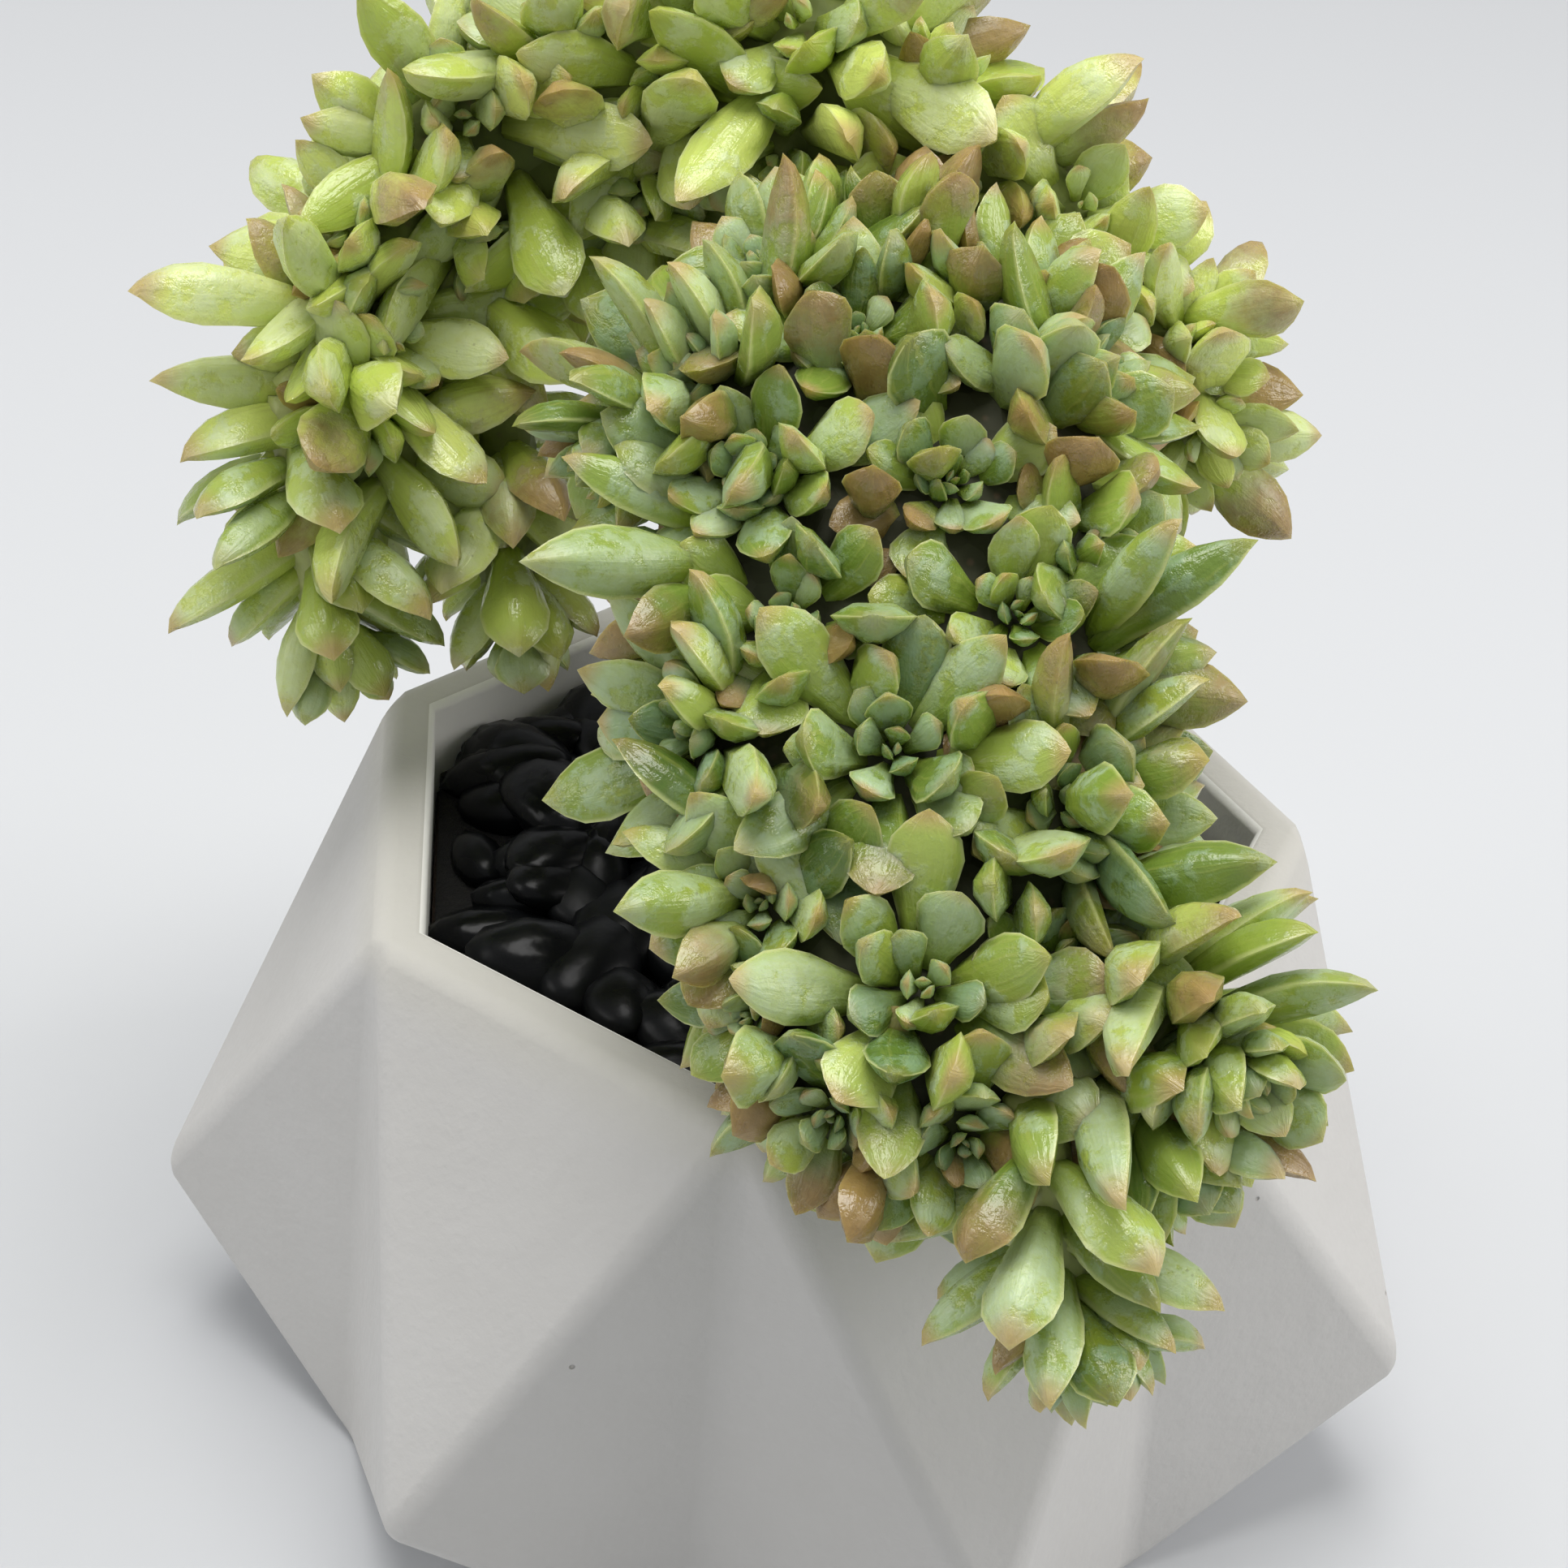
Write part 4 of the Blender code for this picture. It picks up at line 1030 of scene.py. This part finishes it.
def fine_stem(stem, name, detail):
    """One stem with a finely knotted skin."""
    shape = shape_of(stem.mesh(name, *detail))
    shape.normal_update()
    moves = []
    for vertex in shape.verts:
        rough = noise.noise(vertex.co * KNOT_SCALE) + 0.5 * noise.noise(vertex.co * KNOT_SCALE * 2.7)
        moves.append(vertex.normal * rough * KNOT_DEPTH)
    for vertex, move in zip(shape.verts, moves):
        vertex.co += move
    return mesh_of(name, shape)


def make_stems(name, stems, material):
    """One piece from several stems."""
    whole = bmesh.new()
    for stem in stems:
        detail = WIDE_DETAIL if stem.rows[:, 3].max() > WIDE_STEM else NARROW_DETAIL
        whole.from_mesh(fine_stem(stem, name, detail))
    return finished(name, whole, material)


def finished(name, shape, material, smooth=True):
    """A piece in metres from a shape in millimetres."""
    bmesh.ops.scale(shape, verts=shape.verts, vec=(MM, MM, MM))
    for face in shape.faces:
        face.smooth = smooth
    mesh = mesh_of(name, shape)
    mesh.materials.append(material)
    return new_object(name, mesh)


# Pot, stones and floor


def make_pot(material):
    """The faceted shell with soft edges: wide triangles from rim to outward points, creases between."""
    points = heptagon(RIM_RADIUS, POT_HEIGHT) + heptagon(POINT_RADIUS, POINT_HEIGHT, 1)
    points += heptagon(FOOT_RADIUS, 0.0)
    points += heptagon(MOUTH_RADIUS, POT_HEIGHT) + heptagon(MOUTH_RADIUS, CUP_FLOOR)
    rim, point, foot, mouth, floor = (range(n * SIDES, (n + 1) * SIDES) for n in range(5))
    faces = []
    for k in range(SIDES):
        after = (k + 1) % SIDES
        faces += [
            (point[k], rim[after], rim[k]), (foot[k], rim[k], point[k - 1]),
            (foot[k], point[k], rim[k]), (foot[k], foot[after], point[k]),
            (rim[k], rim[after], mouth[after], mouth[k]),
            (mouth[k], mouth[after], floor[after], floor[k]),
        ]
    faces += [tuple(reversed(foot)), tuple(floor)]
    pot = shape_of(mesh_from("pot_facets", points, faces))
    bmesh.ops.recalc_face_normals(pot, faces=pot.faces)
    outer = [edge for edge in pot.edges if all(v.index < 3 * SIDES for v in edge.verts)]
    inner = [edge for edge in pot.edges if all(v.index in mouth for v in edge.verts)]
    for edges, (width, steps) in ((outer, POT_EDGE), (inner, MOUTH_EDGE)):
        edges = [edge for edge in edges if edge.is_valid]
        bmesh.ops.bevel(pot, geom=edges, offset=width, segments=steps, profile=0.5, affect="EDGES")
    piece = finished("pot_shell", pot, material)
    # Marks the faces that look inwards, which the finish paints near white as painted bounce light
    inner_wall_painted_light = piece.data.attributes.new("inner_wall_painted_light", "FLOAT", "FACE")
    for face in piece.data.polygons:
        faces_in = face.normal.xy.dot(face.center.xy) < -0.02
        inner_wall_painted_light.data[face.index].value = 1.0 if faces_in else 0.0
    weights = piece.modifiers.new("flat facets", "WEIGHTED_NORMAL")
    weights.weight = 100
    return piece


def pebble_forms(name, count, detail):
    """Polished pebble forms: smooth, a little lopsided ovals of unit half length."""
    forms = bpy.data.collections.new(name)
    for k in range(count):
        shape = bmesh.new()
        bmesh.ops.create_icosphere(shape, subdivisions=detail, radius=1.0)
        for vertex in shape.verts:
            spot = vertex.co * LUMP_SCALE + Vector((7.0 * k, 3.0, 0.0))
            for finer, height in LUMPS:
                vertex.co *= 1.0 + height * noise.noise(spot * finer)
        for face in shape.faces:
            face.smooth = True
        pebble = f"{name}_{k}"
        forms.objects.link(bpy.data.objects.new(pebble, mesh_of(pebble, shape)))
    return forms


def pebble_basis(turn, tilt, roll):
    """Lengthwise, sideways and upward directions of a lying pebble."""
    along = np.array((cos(turn) * cos(tilt), sin(turn) * cos(tilt), sin(tilt)))
    up = square_to(along, np.array((0.0, 0.0, 1.0)))
    up = unit(up + np.cross(up, along) * tan(roll))
    return along, np.cross(up, along), up


def mouth_room(spot):
    """How far inside the pot's inner wall a place lies."""
    turns = [POT_TURN + (k + 0.5) * tau / SIDES for k in range(SIDES)]
    reaches = [spot[0] * sin(turn) - spot[1] * cos(turn) for turn in turns]
    return MOUTH_RADIUS * cos(pi / SIDES) - max(reaches)


def large_stone_rows(draw):
    """The stones of the solids, as polished pebbles."""
    widths, heights, lifts, tilt, forms, _ = LARGE_STONE
    rows = []
    for spot, length, turn in stone_places(np.random.default_rng(SEED + 1)):
        half = length / 2
        size = (half, half * draw.uniform(*widths), half * draw.uniform(*heights))
        basis = pebble_basis(turn, draw.uniform(-tilt, tilt), draw.uniform(-tilt, tilt))
        height = BED_TOP + draw.uniform(*lifts)
        rows.append(((*spot, height), basis, size, int(draw.integers(forms))))
    return rows


def small_stone_rows(draw):
    """Smaller stones over the whole bed, heaped a little at its back."""
    widths, heights, lifts, tilt, forms, _ = SMALL_STONE
    rows = []
    while len(rows) < SMALL_STONES:
        spot = draw.uniform(-MOUTH_RADIUS, MOUTH_RADIUS, 2)
        half = draw.uniform(*SMALL_STONE_HALF)
        if mouth_room(spot) < half * WALL_SHARE + STONE_MARGIN:
            continue
        if min(np.linalg.norm(spot - hole) for hole in STEM_HOLES) < HOLE_RADIUS:
            continue
        size = (half, half * draw.uniform(*widths), half * draw.uniform(*heights))
        basis = pebble_basis(draw.uniform(0.0, tau), draw.uniform(-tilt, tilt), 0.0)
        back = max(spot[1], 0.0) / MOUTH_RADIUS
        height = BED_TOP + draw.uniform(*lifts) + HEAP_AT_BACK * back
        rows.append(((*spot, height), basis, size, int(draw.integers(forms))))
    return rows


def make_stones(tree_ids, material):
    """The polished stones of the solids, with smaller ones between them."""
    draw = np.random.default_rng(EXTRA_SEED + 1)
    pieces = []
    for name, form, rows, kind, detail in (
        ("polished_stones", "large_pebble", large_stone_rows(draw), LARGE_STONE, 3),
        ("small_stones", "small_pebble", small_stone_rows(draw), SMALL_STONE, 2),
    ):
        forms = pebble_forms(form, kind[4], detail)
        pieces.append(set_out(name, tree_ids, forms, rows, {}, material, kind[5]))
    return pieces


def make_bed(material):
    """The dark bed under the stones, finely lumpy."""
    points = heptagon(MOUTH_RADIUS - BED_INSET, SOIL_TOP + CLEAR)
    points += heptagon(MOUTH_RADIUS - BED_INSET, BED_TOP - BED_SINK)
    faces = [tuple(reversed(range(SIDES))), tuple(range(SIDES, 2 * SIDES))] + ring_faces(2, SIDES)
    return finished("stone_bed", shape_of(mesh_from("bed", points, faces)), material, smooth=False)


def make_floor(material):
    low, high = -FLOOR_HALF, FLOOR_HALF
    corners = ((low, low, 0.0), (high, low, 0.0), (high, high, 0.0), (low, high, 0.0))
    floor = new_object("floor", mesh_from("floor", corners, [(0, 1, 2, 3)]))
    floor.data.materials.append(material)
    return floor


# Materials


class Finish:
    """A material under construction: a Principled shader and short calls for its nodes."""

    def __init__(self, name):
        self.material = bpy.data.materials.new(name)
        self.material.use_nodes = True
        self.tree = self.material.node_tree
        self.shader = self.tree.nodes["Principled BSDF"]

    def add(self, kind, inputs, **settings):
        return add_node(self.tree, kind, inputs, **settings)

    def math(self, operation, first, second=0.0):
        return self.add("ShaderNodeMath", {0: first, 1: second}, operation=operation)[0]

    def plus(self, first, second):
        return self.math("ADD", first, second)

    def less(self, first, second):
        return self.math("SUBTRACT", first, second)

    def times(self, first, second):
        return self.math("MULTIPLY", first, second)

    def mix(self, factor, first, second):
        return self.add("ShaderNodeMix", {0: factor, 6: first, 7: second}, data_type="RGBA")[2]

    def between(self, value, low, high, out_low=0.0, out_high=1.0):
        """A smooth step of a value from one number to another."""
        inputs = {0: value, 1: low, 2: high, 3: out_low, 4: out_high}
        return self.add("ShaderNodeMapRange", inputs, interpolation_type="SMOOTHSTEP")[0]

    def noise(self, where, scale, detail=2.0, roughness=0.5):
        inputs = {"Vector": where, "Scale": scale, "Detail": detail, "Roughness": roughness}
        return self.add("ShaderNodeTexNoise", inputs)["Fac"]

    def cells(self, where, scale):
        return self.add("ShaderNodeTexVoronoi", {"Vector": where, "Scale": scale})["Distance"]

    def place(self):
        return self.add("ShaderNodeTexCoord", {})["Object"]

    def parts(self, where):
        """The three numbers of a place."""
        return self.add("ShaderNodeSeparateXYZ", {0: where})

    def vector_math(self, operation, first, second):
        return self.add("ShaderNodeVectorMath", {0: first, 1: second}, operation=operation)[0]

    def mark(self, name):
        return self.add("ShaderNodeAttribute", {}, attribute_name=name)["Fac"]

    def done(self, rough_height, depth, **given):
        """Gives the shader its relief and its inputs, named with an underscore for each space."""
        if rough_height is not None:
            inputs = {"Height": rough_height, "Distance": depth, "Strength": 1.0}
            given["Normal"] = self.add("ShaderNodeBump", inputs)[0]
        for key, value in given.items():
            feed(self.tree, value, self.shader.inputs[key.replace("_", " ")])
        return self.material


def leaf_finish():
    """Waxy leaf: green under a patchy pale bloom, faint veins, pale margins, tan tips and age."""
    leaf = Finish("waxy_leaf")
    where = leaf.place()
    spot = leaf.add("ShaderNodeUVMap", {}, uv_map="leaf_map")[0]
    across, along, _ = leaf.parts(spot)
    names = ("leaf_tint", "leaf_age", "leaf_warmth_and_painted_light", "leaf_wax")
    tint, age, warmth, waxy = (leaf.mark(name) for name in names)
    edge = leaf.math("ABSOLUTE", leaf.less(across, 0.5))
    smear = leaf.noise(where, 190.0, 5.0, 0.65)
    broad = leaf.noise(where, 60.0, 2.0)
    fine = leaf.noise(where, 620.0, 3.0, 0.6)

    cool = leaf.mix(tint, (0.08, 0.155, 0.022), (0.29, 0.42, 0.06))
    # This bright yellow green is partly the leaves' own yellowing and partly painted light, most of all
    # on the ridge
    warm = leaf.mix(tint, (0.54, 0.67, 0.11), (0.8, 0.88, 0.26))
    skin = leaf.mix(warmth, cool, warm)
    skin = leaf.mix(leaf.between(broad, 0.42, 0.72, 0.0, 0.4), skin, (0.4, 0.43, 0.045))
    skin = leaf.mix(leaf.between(along, 0.05, 0.5, 0.45, 0.0), skin, (0.33, 0.43, 0.04))
    # Each leaf's veins start from a place of its own
    veins = leaf.vector_math("MULTIPLY", spot, VEIN_STRETCH)
    vein = leaf.noise(leaf.vector_math("ADD", veins, leaf.times(tint, 40.0)), 1.0, 3.0)
    skin = leaf.mix(leaf.between(vein, 0.5, 0.7, 0.0, 0.35), skin, (0.44, 0.48, 0.12))

    share = leaf.plus(smear, leaf.times(leaf.less(waxy, 0.5), 0.26))
    share = leaf.plus(share, leaf.times(leaf.less(broad, 0.5), 0.5))
    wax = leaf.times(leaf.between(share, 0.4, 0.55), leaf.between(along, 0.12, 0.5, 0.25, 1.0))
    wax = leaf.times(wax, leaf.between(edge, 0.36, 0.47, 1.0, 0.45))
    thin = leaf.times(leaf.between(fine, 0.25, 0.75, 0.5, 0.85), wax)
    bloom = leaf.mix(tint, (0.19, 0.32, 0.18), (0.5, 0.64, 0.44))
    skin = leaf.mix(thin, skin, leaf.mix(warmth, bloom, (0.72, 0.8, 0.44)))

    margin = leaf.times(leaf.between(edge, 0.44, 0.492), 0.65)
    skin = leaf.mix(margin, skin, (0.6, 0.65, 0.3))
    tip = leaf.times(leaf.between(along, 0.8, 0.98), leaf.between(tint, 0.2, 0.7, 0.25, 0.85))
    skin = leaf.mix(tip, skin, (0.5, 0.35, 0.15))
    dry = leaf.mix(leaf.noise(where, 240.0, 5.0, 0.65), (0.16, 0.085, 0.025), (0.52, 0.335, 0.13))
    turned = leaf.times(age, leaf.between(along, 0.0, 0.9, 0.5, 1.25))
    turned = leaf.plus(turned, leaf.times(share, 0.5))
    skin = leaf.mix(leaf.between(turned, 0.6, 1.0, 0.0, 0.92), skin, dry)
    specks = leaf.between(leaf.cells(where, 420.0), 0.05, 0.12, 0.35, 0.0)
    skin = leaf.mix(leaf.times(specks, leaf.between(broad, 0.5, 0.6)), skin, (0.1, 0.08, 0.04))
    relief = leaf.plus(leaf.times(fine, 0.5), leaf.times(wax, 0.25))
    relief = leaf.plus(leaf.plus(relief, leaf.times(vein, 0.6)), smear)
    return leaf.done(
        relief, 0.0003, Base_Color=skin, Roughness=leaf.between(thin, 0.0, 0.8, 0.19, 0.4),
        Specular_IOR_Level=0.7, Subsurface_Weight=0.3, Subsurface_Radius=(0.9, 1.0, 0.25),
        Subsurface_Scale=0.004,
    )


def stem_finish(name, dark, light, woody_to=0.0):
    """Stem skin: green with fine pinkish scars, and brown bark with leaf scars up to a height; its given
    dark and light hold painted shade on the band and painted light on the ridge.
    """
    stem = Finish(name)
    where = stem.place()
    broad = stem.noise(where, 60.0, 3.0)
    scar = stem.cells(where, 320.0)
    bark = stem.mix(broad, dark, light)
    bark = stem.mix(stem.between(broad, 0.5, 0.66, 0.0, 0.6), bark, (0.05, 0.075, 0.012))
    bark = stem.mix(stem.between(scar, 0.05, 0.25, 0.4, 0.0), bark, (0.16, 0.095, 0.06))
    if woody_to:
        height = stem.plus(stem.parts(where)[2], stem.times(broad, 0.02))
        wood = stem.mix(stem.noise(where, 170.0, 5.0, 0.65), (0.06, 0.042, 0.028), (0.24, 0.185, 0.13))
        leaf_scar = stem.between(stem.cells(where, 125.0), 0.12, 0.26, 0.7, 0.0)
        wood = stem.mix(leaf_scar, wood, (0.27, 0.165, 0.115))
        bark = stem.mix(stem.between(height, woody_to - 0.03, woody_to + 0.01, 1.0, 0.0), bark, wood)
    return stem.done(stem.plus(scar, stem.times(broad, 1.5)), 0.0006, Base_Color=bark, Roughness=0.7)


def shoot_finish():
    """Young shoot: pale, slightly see-through yellow green."""
    shoot = Finish("young_shoot")
    where = shoot.place()
    skin = shoot.mix(shoot.noise(where, 90.0, 3.0), (0.3, 0.38, 0.1), (0.52, 0.52, 0.22))
    return shoot.done(
        shoot.noise(where, 500.0, 2.0), 0.0004, Base_Color=skin, Roughness=0.45,
        Subsurface_Weight=0.3, Subsurface_Radius=(0.8, 1.0, 0.3), Subsurface_Scale=0.003,
    )


def pot_finish():
    """Matt pale ceramic with a faint warm cloud, a warmer rim, tiny pits, and an inner wall painted near
    white as painted bounce light.
    """
    pot = Finish("matt_pale_ceramic")
    where = pot.place()
    fine = pot.noise(where, 700.0, 3.0)
    pits = pot.between(pot.cells(where, 62.0), 0.012, 0.034, 1.0, 0.0)
    body = pot.mix(pot.noise(where, 22.0, 4.0, 0.55), (0.56, 0.545, 0.52), (0.64, 0.63, 0.615))
    # The pot's top centimetre is tinted warmer
    top_tint = pot.between(pot.parts(where)[2], 0.09, 0.0985, 0.0, 0.7)
    body = pot.mix(top_tint, body, (0.6, 0.582, 0.53))
    # Painted light: the inner wall is painted near white for the light bounced into the mouth
    body = pot.mix(pot.mark("inner_wall_painted_light"), body, (0.93, 0.92, 0.88))
    body = pot.mix(pot.times(pits, 0.6), body, (0.33, 0.3, 0.26))
    relief = pot.less(pot.times(fine, 0.25), pits)
    relief = pot.plus(relief, pot.times(pot.noise(where, 110.0, 3.0), 0.8))
    return pot.done(
        relief, 0.0004, Base_Color=body, Roughness=pot.between(fine, 0.3, 0.7, 0.62, 0.78),
        Specular_IOR_Level=0.4,
    )


def stone_finish():
    """Polished near-black stone."""
    stone = Finish("polished_black_stone")
    where = stone.place()
    cloud = stone.noise(where, 120.0, 4.0)
    dull = stone.between(stone.noise(where, 60.0, 2.0), 0.3, 0.7, 0.2, 0.42)
    return stone.done(
        stone.noise(where, 260.0, 2.0), 0.00015,
        Base_Color=stone.mix(cloud, (0.002, 0.002, 0.002), (0.007, 0.008, 0.009)),
        Roughness=dull, Specular_IOR_Level=0.16,
    )


def soil_finish(name, dark, light):
    """Crumbly dark soil."""
    soil = Finish(name)
    crumb = soil.noise(soil.place(), 420.0, 5.0, 0.65)
    return soil.done(crumb, 0.0015, Base_Color=soil.mix(crumb, dark, light), Roughness=0.92)


def floor_finish():
    """Pale floor, with painted shade that makes it a little darker towards the back, where the light
    falls off.
    """
    floor = Finish("pale_floor")
    where = floor.place()
    pale = floor.mix(floor.noise(where, 1.2, 1.0), (0.62, 0.632, 0.652), (0.64, 0.652, 0.672))
    # Painted shade: the floor darkens towards the back for the falloff of the light
    away = floor.between(floor.parts(where)[1], 0.1, 1.3, 0.0, 0.13)
    shade = floor.mix(away, pale, (0.0, 0.0, 0.0))
    return floor.done(None, 0.0, Base_Color=shade, Roughness=0.85, Specular_IOR_Level=0.2)


# Light and camera


def make_light():
    world = bpy.data.worlds.new("pale_room")
    world.use_nodes = True
    sky = world.node_tree.nodes["Background"]
    sky.inputs["Color"].default_value = (0.96, 0.98, 1.0, 1.0)
    sky.inputs["Strength"].default_value = WORLD_STRENGTH
    bpy.context.scene.world = world
    bpy.context.scene.view_settings.view_transform = "Standard"
    for name, place, size, power, colour in LIGHTS:
        light = bpy.data.lights.new(name, "AREA")
        light.shape = "DISK"
        light.size = size
        light.energy = power
        light.color = colour
        holder = new_object(name, light)
        holder.location = place
        holder.rotation_euler = (Vector(LIGHT_AIM) - holder.location).to_track_quat("-Z", "Y").to_euler()


def make_camera():
    """The photograph's view: from the front, looking down, turned a little about its own axis."""
    rise, roll = radians(CAMERA_RISE), radians(CAMERA_ROLL)
    back = Vector((0.0, -cos(rise), sin(rise)))
    right = (-back).cross(Vector((0.0, 0.0, 1.0))).normalized()
    up = right.cross(-back)
    level = right * cos(roll) + up * sin(roll)
    upright = up * cos(roll) - right * sin(roll)
    camera = new_object("camera", bpy.data.cameras.new("camera"))
    pose = Matrix((level, upright, back)).transposed().to_4x4()
    pose.translation = Vector(CAMERA_AIM) + back * CAMERA_DISTANCE
    camera.matrix_world = pose
    camera.data.sensor_width = 36.0
    camera.data.lens = CAMERA_LENS
    camera.data.clip_start = 0.01
    bpy.context.scene.camera = camera


def fit(piece, slot, *nodes):
    """Rides a piece on the body, in the place of its solids; its slot is not used."""
    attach(piece, "root")
    if nodes:
        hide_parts(*nodes)


def main():
    tree_ids = setting_tree()
    stems, groups = lay_out_plant()
    waxy, young = leaf_finish(), shoot_finish()
    forms = leaf_forms()
    for name, held in stems.items():
        fit(make_leaves(name, groups, tree_ids, forms, waxy), "leaf", name)
        finish = young
        if name in BARK_AND_PAINTED_SHADING:
            # Each crest's bark colours hold painted shade on the band and painted light on the ridge
            dark, light, woody_to = BARK_AND_PAINTED_SHADING[name]
            finish = stem_finish(name + "_bark_and_painted_shading", dark, light)
            wood = stem_finish(name + "_wood_and_painted_shading", dark, light, woody_to)
            fit(make_stems(name + "_trunk", held[1:2], wood), "leaf", name)
            held = held[:1] + held[2:]
        fit(make_stems(name + "_stem", held, finish), "leaf", name)
    black = stone_finish()
    for stones in make_stones(tree_ids, black):
        fit(stones, "stones", "black_stones")
    grit = soil_finish("dark_grit", (0.002, 0.002, 0.002), (0.009, 0.008, 0.007))
    fit(make_bed(grit), "stones", "black_stones")
    fit(make_pot(pot_finish()), "pot", "pot")
    soil = soil_finish("potting_soil", (0.018, 0.012, 0.008), (0.09, 0.06, 0.04))
    bpy.data.objects["potting_soil"].material_slots[0].material = soil
    make_floor(floor_finish())
    make_light()
    make_camera()


main()
